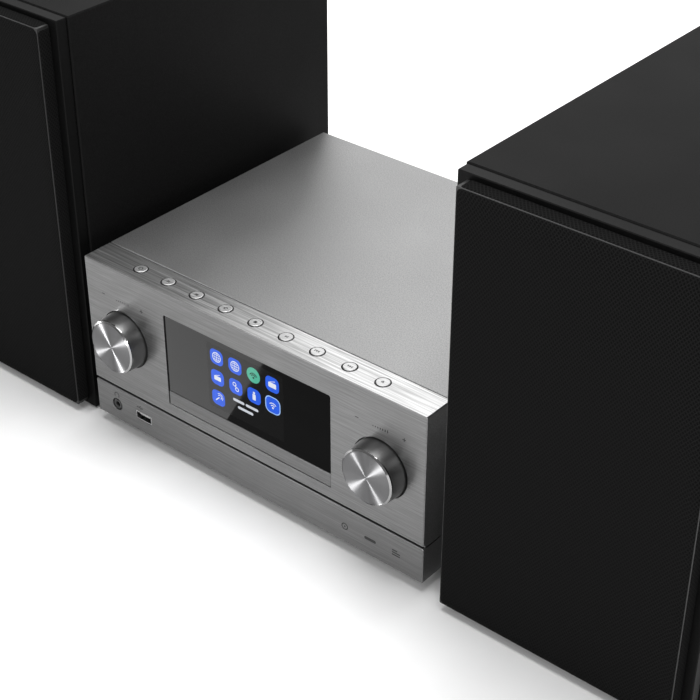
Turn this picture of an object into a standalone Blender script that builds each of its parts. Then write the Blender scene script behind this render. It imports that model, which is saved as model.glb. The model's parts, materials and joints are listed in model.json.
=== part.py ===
"""Mini hifi system: a CD receiver between two bookshelf speakers.

Metres, +Z up, +X to the viewer's right, the front faces -Y.  Everything is placed in a desk frame
whose y = 0 is the receiver's front face and whose z = 0 is the surface it stands on.  That frame
hangs on one empty, which puts the middle of the whole system's footprint at the world origin.
"""
import math

import bmesh
import bpy
from mathutils import Matrix, Vector

MM = 0.001

# ---------------------------------------------------------------- driving dimensions
GAP = 0.3 * MM                # what two neighbouring pieces keep between them
SEAM = 0.4 * MM               # visible joint line between two outer panels
OVER = 5.0 * MM               # how far a cutter runs past the face it cuts

# Receiver: front elevation, from the bottom up
FOOT_H = 7.0 * MM
LOWER_FASCIA_H = 26.2 * MM
GROOVE_H = 1.8 * MM
WINDOW_SILL = 8.4 * MM        # front panel left under the window
DOOR_H = 10.1 * MM
GLASS_H = 58.1 * MM
WINDOW_HEAD = 16.8 * MM       # front panel left over the window
DOOR_OVERHANG = 3.2 * MM      # the window and the door reach this far past the tray on each side
KNOB_FIELD_W = 70.8 * MM      # front panel on each side of the window
UNIT_D = 237.0 * MM
FASCIA_T = 4.0 * MM
LIP_D = 23.0 * MM             # the front panel's top lip, which holds the buttons
LIP_T = 2.5 * MM
FASCIA_CHAMFER = 0.6 * MM
WINDOW_RADIUS = 1.4 * MM

# Receiver: sheet metal and the black frame behind the front
COVER_T = 1.2 * MM
COVER_CHAMFER = 0.35 * MM
SHEET_T = 1.2 * MM
BASE_RIM_H = 12.0 * MM
REAR_T = 1.6 * MM
REAR_RECESS = 2.0 * MM        # the rear panel sits this far inside the cover
SUBFRAME_T = 2.6 * MM
SUBFRAME_HEAD = 3.0 * MM      # room over the frame for the buttons' flanges and their travel

# Glass, display and door
GLASS_T = 2.0 * MM
GLASS_RECESS = 0.8 * MM
DOOR_T = 3.0 * MM
DOOR_RECESS = 0.4 * MM
DISPLAY_W = 74.0 * MM
DISPLAY_H = 53.0 * MM
DISPLAY_T = 4.2 * MM

# Knobs: turned aluminium cups on encoder shafts
KNOB_R = 20.0 * MM
KNOB_FACE_R = 17.8 * MM
KNOB_RIM_R = 18.9 * MM
KNOB_PROUD = 12.9 * MM
KNOB_RING_GAP = 0.6 * MM
KNOB_RISE = 70.4 * MM         # knob axis over the lower edge of the front
KNOB_EDGE = 33.2 * MM         # knob axis from the side of the front
KNOB_PUSH = 0.8 * MM          # travel of the tuning knob's push switch
SHAFT_R = 3.0 * MM
SHAFT_FIT = 0.08 * MM
ENCODER_SIZE = 13.0 * MM
ENCODER_T = 6.5 * MM

# Buttons along the lip
BUTTONS = ("power_button", "source_button", "menu_button", "repeat_button", "stop_button",
           "play_button", "previous_button", "next_button", "eject_button")
BUTTON_PITCH = 24.8 * MM
BUTTON_R = 4.7 * MM
BUTTON_RING_GAP = 0.45 * MM
BUTTON_PROUD = 0.5 * MM
BUTTON_TRAVEL = 0.8 * MM
BUTTON_FLANGE = 1.1 * MM      # the flange under the lip stands out this far

# Sockets in the lower fascia
JACK_X = -120.6 * MM
JACK_RISE = 12.8 * MM
JACK_R = 4.3 * MM
JACK_BORE_R = 1.8 * MM
USB_X = -95.4 * MM
USB_RISE = 13.0 * MM
USB_W = 14.4 * MM
USB_H = 6.0 * MM
USB_WALL = 0.5 * MM
USB_DEPTH = 14.0 * MM

# Disc drive
DISC_R = 60.0 * MM
SMALL_DISC_R = 40.0 * MM
DISC_PLAY = 0.8 * MM
TRAY_EDGE = 6.0 * MM          # tray left beside the disc
TRAY_T = 6.6 * MM
TRAY_AHEAD = 9.0 * MM         # tray left in front of the disc
TRAY_BEHIND = 26.0 * MM       # and behind it
TRAY_RUNNING = 0.5 * MM       # play between the tray and its rails
RAIL_W = 5.0 * MM
RAIL_OVER = 4.5 * MM          # clearance from the tray's top to the clamp bridge
BRIDGE_W = 34.0 * MM
SLOT_W = 34.0 * MM            # the tray's slot for the turntable and the laser
HUB_R = 14.0 * MM
CLAMP_R = 15.0 * MM
RACK_MODULE = 1.0 * MM
PINION_TEETH = 16
PINION_T = 5.3 * MM
RACK_DEPTH = 3.6 * MM         # channel under the tray, which the rack and the pinion share
SLED_W = 26.0 * MM
SLED_L = 22.0 * MM
SLED_STOP = 12.0 * MM         # the laser turns back this far inside the disc's edge
SCREW_R = 1.5 * MM            # lead screw and guide rod alike
SCREW_FIT = 0.1 * MM

# Speakers
SPEAKER_W = 170.0 * MM
SPEAKER_H = 284.6 * MM
SPEAKER_GAP = 8.8 * MM        # between the receiver's side and a speaker
SPEAKER_FRONT = -5.3 * MM     # the grille's face stands a little in front of the receiver
SPEAKER_BACK = 253.5 * MM
GRILLE_D = 10.2 * MM
GRILLE_INSET = 7.3 * MM       # from the cabinet's side to the grille's side
GRILLE_TOP = 3.6 * MM
GRILLE_BOTTOM = 4.9 * MM
GRILLE_WALL = 2.4 * MM
GRILLE_CLOTH = 1.6 * MM
GRILLE_RADIUS = 4.5 * MM
BAFFLE_T = 8.2 * MM
BAFFLE_INSET = 1.2 * MM
CABINET_WALL = 12.0 * MM
PEG_R = 2.5 * MM
PEG_L = 5.0 * MM
WOOFER_R = 60.0 * MM
WOOFER_RISE = 92.0 * MM
WOOFER_MOUTH_R = 53.0 * MM
WOOFER_FLANGE = 2.2 * MM
CONE_EDGE_PLAY = 0.6 * MM
MAGNET_DEPTH = 66.0 * MM
CONE_SINK = 3.5 * MM          # the cone's rim lies this far behind the baffle's face
SURROUND_W = 8.0 * MM
SURROUND_H = 3.0 * MM
VOICE_COIL_DEPTH = 30.0 * MM
TWEETER_R = 31.0 * MM
TWEETER_RISE = 212.0 * MM
TWEETER_DEPTH = 28.0 * MM
DOME_R = 13.0 * MM
DOME_H = 4.2 * MM
HORN_DEPTH = 3.0 * MM
TERMINAL_W = 56.0 * MM
TERMINAL_RISE = 110.0 * MM
TERMINAL_DEPTH = 14.0 * MM
TERMINAL_RIM = 4.0 * MM
POST_R = 4.5 * MM
POST_L = 12.0 * MM
POST_X = 11.0 * MM

# ---------------------------------------------------------------- places worked out from them
TRAY_W = 2 * (DISC_R + TRAY_EDGE)
TRAY_L = TRAY_AHEAD + 2 * DISC_R + TRAY_BEHIND
WINDOW_W = TRAY_W + 2 * DOOR_OVERHANG
UNIT_W = WINDOW_W + 2 * KNOB_FIELD_W
HALF_W = UNIT_W / 2
LOWER_TOP = FOOT_H + LOWER_FASCIA_H
PANEL_LOW = LOWER_TOP + GROOVE_H
WINDOW_LOW = PANEL_LOW + WINDOW_SILL
DOOR_LOW = WINDOW_LOW + SEAM
DOOR_TOP = WINDOW_LOW + DOOR_H
GLASS_LOW = DOOR_TOP + SEAM
WINDOW_TOP = WINDOW_LOW + DOOR_H + GLASS_H
GLASS_TOP = WINDOW_TOP - SEAM
UNIT_TOP = WINDOW_TOP + WINDOW_HEAD
SUBFRAME_Y = FASCIA_T + SEAM
SUBFRAME_BACK = SUBFRAME_Y + SUBFRAME_T
REAR_Y = UNIT_D - REAR_RECESS - REAR_T
BASE_Z = FOOT_H + 1.0 * MM
KNOB_Z = FOOT_H + KNOB_RISE
KNOB_X = HALF_W - KNOB_EDGE
BUTTON_Y = max(LIP_D / 2, FASCIA_T + BUTTON_R + BUTTON_FLANGE + GAP)
TRAY_FRONT = DOOR_RECESS + DOOR_T + GAP
TRAY_LOW = (DOOR_LOW + DOOR_TOP) / 2 - TRAY_T / 2
TRAY_TOP = TRAY_LOW + TRAY_T
DISC_Y = TRAY_FRONT + TRAY_AHEAD + DISC_R
SLED_TRAVEL = DISC_R - HUB_R - SLED_STOP
SLED_Y = DISC_Y + HUB_R + 2.0 * MM
SLED_BACK = SLED_Y + SLED_L + SLED_TRAVEL + 4.0 * MM
WELL_DEPTH = 1.8 * MM
LOADER_W = TRAY_W + 2 * TRAY_RUNNING + 2 * RAIL_W
LOADER_Y = SUBFRAME_BACK + 1.0 * MM
LOADER_BACK = TRAY_FRONT + TRAY_L + 8.0 * MM
LOADER_LOW = TRAY_LOW - 9.0 * MM
LOADER_FLOOR_T = 2.0 * MM
SPEAKER_X = HALF_W + SPEAKER_GAP + SPEAKER_W / 2
BAFFLE_Y = SPEAKER_FRONT + GRILLE_D + GAP
CABINET_Y = BAFFLE_Y + BAFFLE_T + GAP
SYSTEM_MIDDLE = (SPEAKER_BACK - KNOB_PROUD) / 2

# ---------------------------------------------------------------- scene and materials
for old in list(bpy.data.objects):
    bpy.data.objects.remove(old, do_unlink=True)


def new_collection(name):
    """Make a collection and link it to the scene."""
    made = bpy.data.collections.new(name)
    bpy.context.scene.collection.children.link(made)
    return made


PARTS = new_collection("mini_hifi_system")
CUTTERS = new_collection("cutters")
MATERIALS = {}


def material(name, colour, roughness, metallic=0.0):
    """Register one Principled material under a short name."""
    made = bpy.data.materials.new(name)
    made.use_nodes = True
    shader = made.node_tree.nodes["Principled BSDF"]
    shader.inputs["Base Color"].default_value = (*colour, 1.0)
    shader.inputs["Roughness"].default_value = roughness
    shader.inputs["Metallic"].default_value = metallic
    MATERIALS[name] = made


material("brushed_aluminium", (0.62, 0.63, 0.63), 0.32, 1.0)
material("satin_silver", (0.52, 0.53, 0.52), 0.42, 1.0)
material("spun_aluminium", (0.72, 0.72, 0.73), 0.22, 1.0)
material("black_glass", (0.006, 0.006, 0.007), 0.06)
material("black_plastic", (0.015, 0.015, 0.016), 0.45)
material("black_rubber", (0.02, 0.02, 0.02), 0.8)
material("zinc_steel", (0.55, 0.56, 0.57), 0.35, 1.0)
material("circuit_board", (0.03, 0.12, 0.06), 0.5)
material("heat_sink_black", (0.04, 0.04, 0.045), 0.4, 1.0)
material("cabinet_black", (0.022, 0.022, 0.023), 0.42)
material("baffle_black", (0.014, 0.014, 0.015), 0.5)
material("grille_cloth", (0.02, 0.02, 0.021), 0.9)
material("cone_grey", (0.05, 0.05, 0.052), 0.6)
material("nickel", (0.6, 0.58, 0.54), 0.25, 1.0)

ORIGIN = bpy.data.objects.new("mini_hifi_origin", None)
ORIGIN.location = (0, -SYSTEM_MIDDLE, 0)
PARTS.objects.link(ORIGIN)


# ---------------------------------------------------------------- modelling helpers
def place(mesh, name, slot, location=(0, 0, 0), rotation=(0, 0, 0)):
    """Make an object of a mesh.  With no slot it is a cutter, kept out of the model."""
    made = bpy.data.objects.new(name, mesh)
    made.location = location
    made.rotation_euler = rotation
    made.parent = ORIGIN
    if slot is None:
        made.hide_render = True
        made.display_type = "WIRE"
        CUTTERS.objects.link(made)
    else:
        mesh.materials.append(MATERIALS[slot])
        PARTS.objects.link(made)
    return made


def box(name, low, high, slot=None, round_axis=None, radius=0.0, segments=4):
    """A box between two corners, its origin at its middle, rounded along one axis if asked."""
    low, high = Vector(low), Vector(high)
    size = high - low
    solid = bmesh.new()
    bmesh.ops.create_cube(solid, size=1.0, matrix=Matrix.Diagonal((*size, 1.0)))
    if round_axis is not None:
        along = [e for e in solid.edges
                 if abs((e.verts[0].co - e.verts[1].co)[round_axis]) > size[round_axis] / 2]
        bmesh.ops.bevel(solid, geom=along, offset=radius, segments=segments, profile=0.5,
                        affect="EDGES")
    mesh = bpy.data.meshes.new(name)
    solid.to_mesh(mesh)
    solid.free()
    return place(mesh, name, slot, (low + high) / 2)


def turned(name, profile, location, slot=None, steps=32, facing="front"):
    """A solid of revolution.  profile is (radius, height), from the top round the outside down.

    facing says where its top looks: "front" is -Y, "back" is +Y, "up" is +Z.
    """
    mesh = bpy.data.meshes.new(name)
    points = [(radius, 0.0, height) for radius, height in profile]
    mesh.from_pydata(points, [(i, i + 1) for i in range(len(points) - 1)], [])
    rotation = {"front": (math.pi / 2, 0, 0), "back": (-math.pi / 2, 0, 0), "up": (0, 0, 0)}
    made = place(mesh, name, slot, location, rotation[facing])
    screw = made.modifiers.new("turn", "SCREW")
    screw.axis = "Z"
    screw.steps = steps
    screw.render_steps = steps
    screw.use_merge_vertices = True
    screw.merge_threshold = 0.00001
    screw.use_smooth_shade = True
    return made


def rod(name, radius, length, location, slot=None, steps=24, facing="front"):
    """A plain cylinder: location is the middle of its back end, length runs where it faces."""
    profile = [(0, length), (radius, length), (radius, 0), (0, 0)]
    return turned(name, profile, location, slot, steps, facing)


def outline(name, points, thickness, location, slot=None):
    """A flat outline in XY, extruded along Z about its middle, as a mesh object."""
    curve = bpy.data.curves.new(name, "CURVE")
    curve.dimensions = "2D"
    curve.fill_mode = "BOTH"
    curve.extrude = thickness / 2
    spline = curve.splines.new("POLY")
    spline.points.add(len(points) - 1)
    for point, (x, y) in zip(spline.points, points):
        point.co = (x, y, 0, 1)
    spline.use_cyclic_u = True
    drawn = bpy.data.objects.new(name + "_curve", curve)
    CUTTERS.objects.link(drawn)
    bpy.context.view_layer.update()
    mesh = bpy.data.meshes.new_from_object(drawn.evaluated_get(bpy.context.evaluated_depsgraph_get()))
    bpy.data.objects.remove(drawn, do_unlink=True)
    solid = bmesh.new()
    solid.from_mesh(mesh)
    bmesh.ops.remove_doubles(solid, verts=solid.verts, dist=0.000001)
    bmesh.ops.recalc_face_normals(solid, faces=solid.faces)
    solid.to_mesh(mesh)
    solid.free()
    mesh.name = name
    mesh.materials.clear()
    return place(mesh, name, slot, location)


def combine(target, tool, operation):
    """Cut a tool out of a target, or join it on, with an exact Boolean."""
    made = target.modifiers.new(operation.lower() + "_" + tool.name, "BOOLEAN")
    made.operation = operation
    made.object = tool
    made.solver = "EXACT"


def cut(target, *tools):
    """Take tools away from a target."""
    for tool in tools:
        combine(target, tool, "DIFFERENCE")


def join(target, *tools):
    """Add tools to a target, as one solid with it."""
    for tool in tools:
        combine(target, tool, "UNION")


def chamfer(target, width, segments=1):
    """Break a target's sharp edges as it stands at this point in its modifiers."""
    made = target.modifiers.new("chamfer", "BEVEL")
    made.width = width
    made.segments = segments
    made.limit_method = "ANGLE"
    made.angle_limit = math.radians(40)


def smooth(target, degrees=35):
    """Shade a round piece smooth, with its real edges kept sharp."""
    target.data.shade_smooth()
    target.data.set_sharp_from_angle(angle=math.radians(degrees))


# ---------------------------------------------------------------- receiver: outer panels
def button_x(index):
    """Where one of the row of buttons stands."""
    return (index - (len(BUTTONS) - 1) / 2) * BUTTON_PITCH


def cheeks(name, low, high):
    """Side plates that run back from a front plate as far as the lip does."""
    back = LIP_D - FASCIA_CHAMFER
    return [box(name, (x, FASCIA_T / 2, low), (x + COVER_T, back, high))
            for x in (-HALF_W, HALF_W - COVER_T)]


def build_front_panel():
    """Upper front: thick plate with a lip on top and a cheek on each side, and all its holes."""
    panel = box("front_panel", (-HALF_W, 0, PANEL_LOW), (HALF_W, LIP_D, UNIT_TOP), "brushed_aluminium")
    inside = box("front_panel_inside", (-HALF_W - OVER, FASCIA_T, PANEL_LOW - OVER),
                 (HALF_W + OVER, LIP_D + OVER, UNIT_TOP - LIP_T))
    cut(panel, inside)
    chamfer(panel, FASCIA_CHAMFER)
    window = box("window_cut", (-WINDOW_W / 2, -OVER, WINDOW_LOW),
                 (WINDOW_W / 2, FASCIA_T + OVER, WINDOW_TOP), None, 1, WINDOW_RADIUS)
    cut(panel, window)
    for side in (-1, 1):
        hole = rod("knob_hole", KNOB_R + KNOB_RING_GAP, FASCIA_T + 2 * OVER,
                   (side * KNOB_X, FASCIA_T + OVER, KNOB_Z), None, 48)
        cut(panel, hole)
    for index in range(len(BUTTONS)):
        hole = rod("button_hole", BUTTON_R + BUTTON_RING_GAP, LIP_T + 2 * OVER,
                   (button_x(index), BUTTON_Y, UNIT_TOP - LIP_T - OVER), None, 20, "up")
        cut(panel, hole)
    join(panel, *cheeks("panel_cheek", LOWER_TOP + SEAM, UNIT_TOP - LIP_T / 2))


def build_lower_fascia():
    """Lower front strip, with the holes for the headphone and the USB sockets."""
    strip = box("lower_fascia", (-HALF_W, 0, FOOT_H), (HALF_W, FASCIA_T, LOWER_TOP),
                "brushed_aluminium")
    chamfer(strip, FASCIA_CHAMFER)
    jack = rod("jack_hole", JACK_R + GAP, FASCIA_T + 2 * OVER,
               (JACK_X, FASCIA_T + OVER, FOOT_H + JACK_RISE), None, 28)
    usb = box("usb_hole", (USB_X - USB_W / 2 - GAP, -OVER, FOOT_H + USB_RISE - USB_H / 2 - GAP),
              (USB_X + USB_W / 2 + GAP, FASCIA_T + OVER, FOOT_H + USB_RISE + USB_H / 2 + GAP),
              None, 1, 1.0 * MM, 3)
    cut(strip, jack, usb)
    join(strip, *cheeks("fascia_cheek", FOOT_H + FASCIA_CHAMFER, LOWER_TOP - FASCIA_CHAMFER))


def build_top_cover():
    """Folded sheet over the top and down both sides, behind the front panel's lip and cheeks."""
    cover = box("top_cover", (-HALF_W, LIP_D + SEAM, BASE_Z), (HALF_W, UNIT_D, UNIT_TOP),
                "satin_silver")
    inside = box("cover_inside", (-HALF_W + COVER_T, -OVER, BASE_Z - OVER),
                 (HALF_W - COVER_T, UNIT_D + OVER, UNIT_TOP - COVER_T))
    cut(cover, inside)
    chamfer(cover, COVER_CHAMFER)


def build_chassis_base():
    """Pressed steel bottom tray, with a low rim inside the cover's sides."""
    inner = HALF_W - COVER_T - GAP
    base = box("chassis_base", (-inner, SUBFRAME_BACK + GAP, BASE_Z),
               (inner, REAR_Y - GAP, BASE_Z + BASE_RIM_H), "zinc_steel")
    hollow = box("base_hollow", (-inner + SHEET_T, -OVER, BASE_Z + SHEET_T),
                 (inner - SHEET_T, REAR_Y + OVER, BASE_Z + BASE_RIM_H + OVER))
    cut(base, hollow)


INLET_W = 22.0 * MM
INLET_H = 14.0 * MM
INLET_D = 16.0 * MM
INLET_EDGE = 26.0 * MM
INLET_MOUTH_W = 16.0 * MM
INLET_MOUTH_H = 9.2 * MM
INLET_MOUTH_D = 12.5 * MM
PIN_R = 1.2 * MM
PIN_L = 8.0 * MM
PIN_X = 4.3 * MM
SOCKET_PROUD = 1.2 * MM       # the rear sockets' rims over the rear panel
CLIP_W = 46.0 * MM
CLIP_H = 24.0 * MM
CLIP_D = 12.0 * MM
CLIP_EDGE = 46.0 * MM
CLIP_PITCH = 10.5 * MM
LEVER_W = 6.8 * MM
LEVER_H = 10.0 * MM
LEVER_PROUD = 5.0 * MM
WIRE_HOLE_R = 1.6 * MM
AERIAL_R = 6.5 * MM
AERIAL_ROOM = 26.0 * MM
REAR_ROW_Z = FOOT_H + 34.0 * MM


def rear_places():
    """Where the three groups of rear sockets stand, as x of their middles."""
    inlet = -HALF_W + INLET_EDGE
    clips = HALF_W - CLIP_EDGE
    aerial = clips - CLIP_W / 2 - AERIAL_ROOM
    return inlet, clips, aerial


def build_rear_panel():
    """Steel back, cut out for the mains inlet, the speaker clips and the aerial socket."""
    inner = HALF_W - COVER_T - GAP
    panel = box("rear_panel", (-inner, REAR_Y, BASE_Z),
                (inner, REAR_Y + REAR_T, UNIT_TOP - COVER_T - GAP), "zinc_steel")
    inlet_x, clips_x, aerial_x = rear_places()
    for name, x, width, height in (("inlet_hole", inlet_x, INLET_W, INLET_H),
                                   ("clips_hole", clips_x, CLIP_W, CLIP_H)):
        cut(panel, box(name, (x - width / 2 - GAP, REAR_Y - OVER, REAR_ROW_Z - height / 2 - GAP),
                       (x + width / 2 + GAP, REAR_Y + REAR_T + OVER, REAR_ROW_Z + height / 2 + GAP)))
    cut(panel, rod("aerial_hole", AERIAL_R + GAP, REAR_T + 2 * OVER,
                   (aerial_x, REAR_Y + REAR_T + OVER, REAR_ROW_Z), None, 24))


def build_subframe():
    """Black moulded frame behind the front, seen in the groove and round the knobs."""
    frame = box("sub_front_frame", (-HALF_W + COVER_T + GAP, SUBFRAME_Y, BASE_Z),
                (HALF_W - COVER_T - GAP, SUBFRAME_BACK, UNIT_TOP - LIP_T - SUBFRAME_HEAD), "black_plastic")
    tray = box("frame_tray_hole", (-TRAY_W / 2 - TRAY_RUNNING, -OVER, DOOR_LOW),
               (TRAY_W / 2 + TRAY_RUNNING, SUBFRAME_BACK + OVER, DOOR_TOP))
    middle = (GLASS_LOW + GLASS_TOP) / 2
    screen = box("frame_screen_hole",
                 (-DISPLAY_W / 2 - GAP, -OVER, middle - DISPLAY_H / 2 - GAP),
                 (DISPLAY_W / 2 + GAP, SUBFRAME_BACK + OVER, middle + DISPLAY_H / 2 + GAP))
    usb = box("frame_usb_hole",
              (USB_X - USB_W / 2 - GAP, -OVER, FOOT_H + USB_RISE - USB_H / 2 - GAP),
              (USB_X + USB_W / 2 + GAP, SUBFRAME_BACK + OVER, FOOT_H + USB_RISE + USB_H / 2 + GAP))
    jack = rod("frame_jack_hole", JACK_R + GAP, SUBFRAME_T + 2 * OVER,
               (JACK_X, SUBFRAME_BACK + OVER, FOOT_H + JACK_RISE), None, 24)
    cut(frame, tray, screen, usb, jack)
    for side in (-1, 1):
        cut(frame, rod("frame_shaft_hole", SHAFT_R + 2.0 * MM, SUBFRAME_T + 2 * OVER,
                       (side * KNOB_X, SUBFRAME_BACK + OVER, KNOB_Z), None, 24))


def build_feet():
    """Four turned rubber feet under the chassis."""
    profile = [(0, BASE_Z - GAP), (13.0 * MM, BASE_Z - GAP), (13.0 * MM, 5.0 * MM),
               (11.5 * MM, 0.8 * MM), (10.8 * MM, 0), (0, 0)]
    inset = 28.0 * MM
    for side, x in (("left", -HALF_W + inset), ("right", HALF_W - inset)):
        for end, y in (("front", inset), ("rear", UNIT_D - inset)):
            foot = turned(f"foot_{end}_{side}", profile, (x, y, 0), "black_rubber", 20, "up")
            smooth(foot)


# ---------------------------------------------------------------- receiver: front controls
def build_knob(name, x):
    """A turned cup with a hub inside that takes the encoder's shaft."""
    wall = 2.0 * MM
    skirt = 1.6 * MM
    floor = KNOB_PROUD - 3.0 * MM
    bore = SHAFT_R + SHAFT_FIT
    profile = [(0, KNOB_PROUD), (KNOB_FACE_R, KNOB_PROUD), (KNOB_RIM_R, KNOB_PROUD - 0.8 * MM),
               (KNOB_R, -skirt), (KNOB_R - wall, -skirt), (KNOB_R - wall, floor), (6.0 * MM, floor),
               (6.0 * MM, 0), (bore, 0), (bore, KNOB_PROUD - 6.0 * MM), (0, KNOB_PROUD - 6.0 * MM)]
    smooth(turned(name, profile, (x, 0, KNOB_Z), "spun_aluminium", 40))


def build_encoder(name, x):
    """The switch body behind the frame, with the bush that its shaft turns in."""
    back = SUBFRAME_BACK + GAP
    half = ENCODER_SIZE / 2
    body = box(name, (x - half, back, KNOB_Z - half), (x + half, back + ENCODER_T, KNOB_Z + half),
               "zinc_steel")
    bush = rod(name + "_bush", SHAFT_R + 1.4 * MM, SUBFRAME_T + 2.5 * MM,
               (x, back + 1.0 * MM, KNOB_Z), None, 24)
    join(body, bush)
    cut(body, rod(name + "_bore", SHAFT_R + SHAFT_FIT, 30.0 * MM,
                  (x, back + ENCODER_T - 1.5 * MM, KNOB_Z), None, 24))


def build_shaft(name, x, room):
    """Encoder shaft, from inside the bush to inside the knob, with room left for a push."""
    tip = -(KNOB_PROUD - 6.0 * MM) + GAP + room
    rear = SUBFRAME_BACK + GAP + ENCODER_T - 1.5 * MM - GAP - room
    smooth(rod(name, SHAFT_R, rear - tip, (x, rear, KNOB_Z), "nickel", 24))


def build_buttons():
    """Nine flanged caps, each over its switch on the button board."""
    under = UNIT_TOP - LIP_T
    flange_top = under - GAP
    flange_low = flange_top - 1.2 * MM
    foot = flange_low - 2.4 * MM
    cap = [(0, BUTTON_PROUD), (BUTTON_R - 0.5 * MM, BUTTON_PROUD), (BUTTON_R, 0.1 * MM)]
    flange_r = BUTTON_R + BUTTON_FLANGE
    stem = [(BUTTON_R, flange_top), (flange_r, flange_top), (flange_r, flange_low),
            (2.0 * MM, flange_low), (2.0 * MM, foot), (0, foot)]
    profile = cap + [(radius, height - UNIT_TOP) for radius, height in stem]
    for index, name in enumerate(BUTTONS):
        smooth(turned(name, profile, (button_x(index), BUTTON_Y, UNIT_TOP), "spun_aluminium",
                      16, "up"))
    board_top = foot - BUTTON_TRAVEL - GAP
    half = button_x(len(BUTTONS) - 1) + 8.0 * MM
    box("button_board", (-half, SUBFRAME_BACK + GAP, board_top - 1.6 * MM),
        (half, LIP_D - 2.0 * MM, board_top), "circuit_board")


def build_sockets():
    """Headphone socket and USB socket in the lower fascia."""
    z = FOOT_H + JACK_RISE
    depth = 18.0 * MM
    profile = [(JACK_BORE_R, 0), (JACK_R - 0.8 * MM, 0), (JACK_R - 0.2 * MM, -0.3 * MM),
               (JACK_R, -0.8 * MM), (JACK_R, -depth), (0, -depth), (0, -depth + 3.0 * MM),
               (JACK_BORE_R, -depth + 3.0 * MM), (JACK_BORE_R, 0)]
    smooth(turned("headphone_jack", profile, (JACK_X, 0.1 * MM, z), "black_plastic", 24))
    z = FOOT_H + USB_RISE
    shell = box("usb_socket", (USB_X - USB_W / 2, 0.2 * MM, z - USB_H / 2),
                (USB_X + USB_W / 2, USB_DEPTH, z + USB_H / 2), "nickel")
    mouth = box("usb_mouth", (USB_X - USB_W / 2 + USB_WALL, -OVER, z - USB_H / 2 + USB_WALL),
                (USB_X + USB_W / 2 - USB_WALL, USB_DEPTH - 2.0 * MM, z + USB_H / 2 - USB_WALL))
    tongue = box("usb_tongue", (USB_X - USB_W / 2 + 1.6 * MM, 1.6 * MM, z + 1.0 * MM),
                 (USB_X + USB_W / 2 - 1.6 * MM, USB_DEPTH - 1.0 * MM, z + 2.0 * MM))
    cut(shell, mouth)
    join(shell, tongue)


def build_display():
    """Front glass over the screen module."""
    glass = box("display_glass", (-WINDOW_W / 2 + SEAM, GLASS_RECESS, GLASS_LOW),
                (WINDOW_W / 2 - SEAM, GLASS_RECESS + GLASS_T, GLASS_TOP), "black_glass")
    chamfer(glass, 0.2 * MM)
    middle = (GLASS_LOW + GLASS_TOP) / 2
    front = GLASS_RECESS + GLASS_T + GAP
    box("display_module", (-DISPLAY_W / 2, front, middle - DISPLAY_H / 2),
        (DISPLAY_W / 2, front + DISPLAY_T, middle + DISPLAY_H / 2), "black_plastic")


# ---------------------------------------------------------------- receiver: disc drive
PINION_R = RACK_MODULE * PINION_TEETH / 2
ADDENDUM = 0.85 * RACK_MODULE
PINION_X = -TRAY_W / 2 + 14.0 * MM
PINION_Y = LOADER_Y + PINION_R + ADDENDUM + 1.0 * MM
PINION_TOP = TRAY_LOW + RACK_DEPTH - GAP
RACK_X = PINION_X + PINION_R
RACK_BODY = 2.4 * MM
TOOTH_PITCH = math.pi * RACK_MODULE
DEDENDUM = 1.25 * RACK_MODULE
PRESSURE_SLOPE = math.tan(math.radians(20))
BACKLASH = 0.45 * MM


def pinion_points():
    """Outline of the pinion: involute flanks, thinned by the backlash, one tooth towards +X."""
    base_r = PINION_R * math.cos(math.radians(20))
    root_r = PINION_R - DEDENDUM
    tip_r = PINION_R + ADDENDUM
    spread = math.sqrt((PINION_R / base_r) ** 2 - 1)
    pitch_turn = spread - math.atan(spread)
    half_tooth = (TOOTH_PITCH / 2 - BACKLASH / 2) / PINION_R / 2
    radii = [base_r + (tip_r - base_r) * step / 2 for step in range(3)]
    flank = []
    for radius in radii:
        roll = math.sqrt(max((radius / base_r) ** 2 - 1, 0.0))
        flank.append((radius, half_tooth + pitch_turn - (roll - math.atan(roll))))
    points = []
    for tooth in range(PINION_TEETH):
        middle = tooth * 2 * math.pi / PINION_TEETH
        lower = [(root_r, -flank[0][1])] + [(radius, -angle) for radius, angle in flank]
        upper = [(radius, angle) for radius, angle in reversed(flank)] + [(root_r, flank[0][1])]
        for radius, angle in lower + upper:
            points.append((radius * math.cos(middle + angle), radius * math.sin(middle + angle)))
    return points


def rack_points(length, first_gap):
    """Outline of the rack: its teeth look towards -X, and one gap is centred on first_gap."""
    foot_half = (TOOTH_PITCH / 2 - BACKLASH / 2) / 2 + DEDENDUM * PRESSURE_SLOPE
    tip_half = foot_half - (DEDENDUM + ADDENDUM) * PRESSURE_SLOPE
    points = [(RACK_BODY, 0.0)]
    points.append((DEDENDUM, 0.0))
    first = first_gap % TOOTH_PITCH - TOOTH_PITCH / 2
    count = int(length / TOOTH_PITCH) + 2
    for index in range(count):
        middle = first + index * TOOTH_PITCH
        if middle - foot_half < 0.2 * MM or middle + foot_half > length - 0.2 * MM:
            continue
        points += [(DEDENDUM, middle - foot_half), (-ADDENDUM, middle - tip_half),
                   (-ADDENDUM, middle + tip_half), (DEDENDUM, middle + foot_half)]
    points.append((DEDENDUM, length))
    points.append((RACK_BODY, length))
    return points


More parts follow.
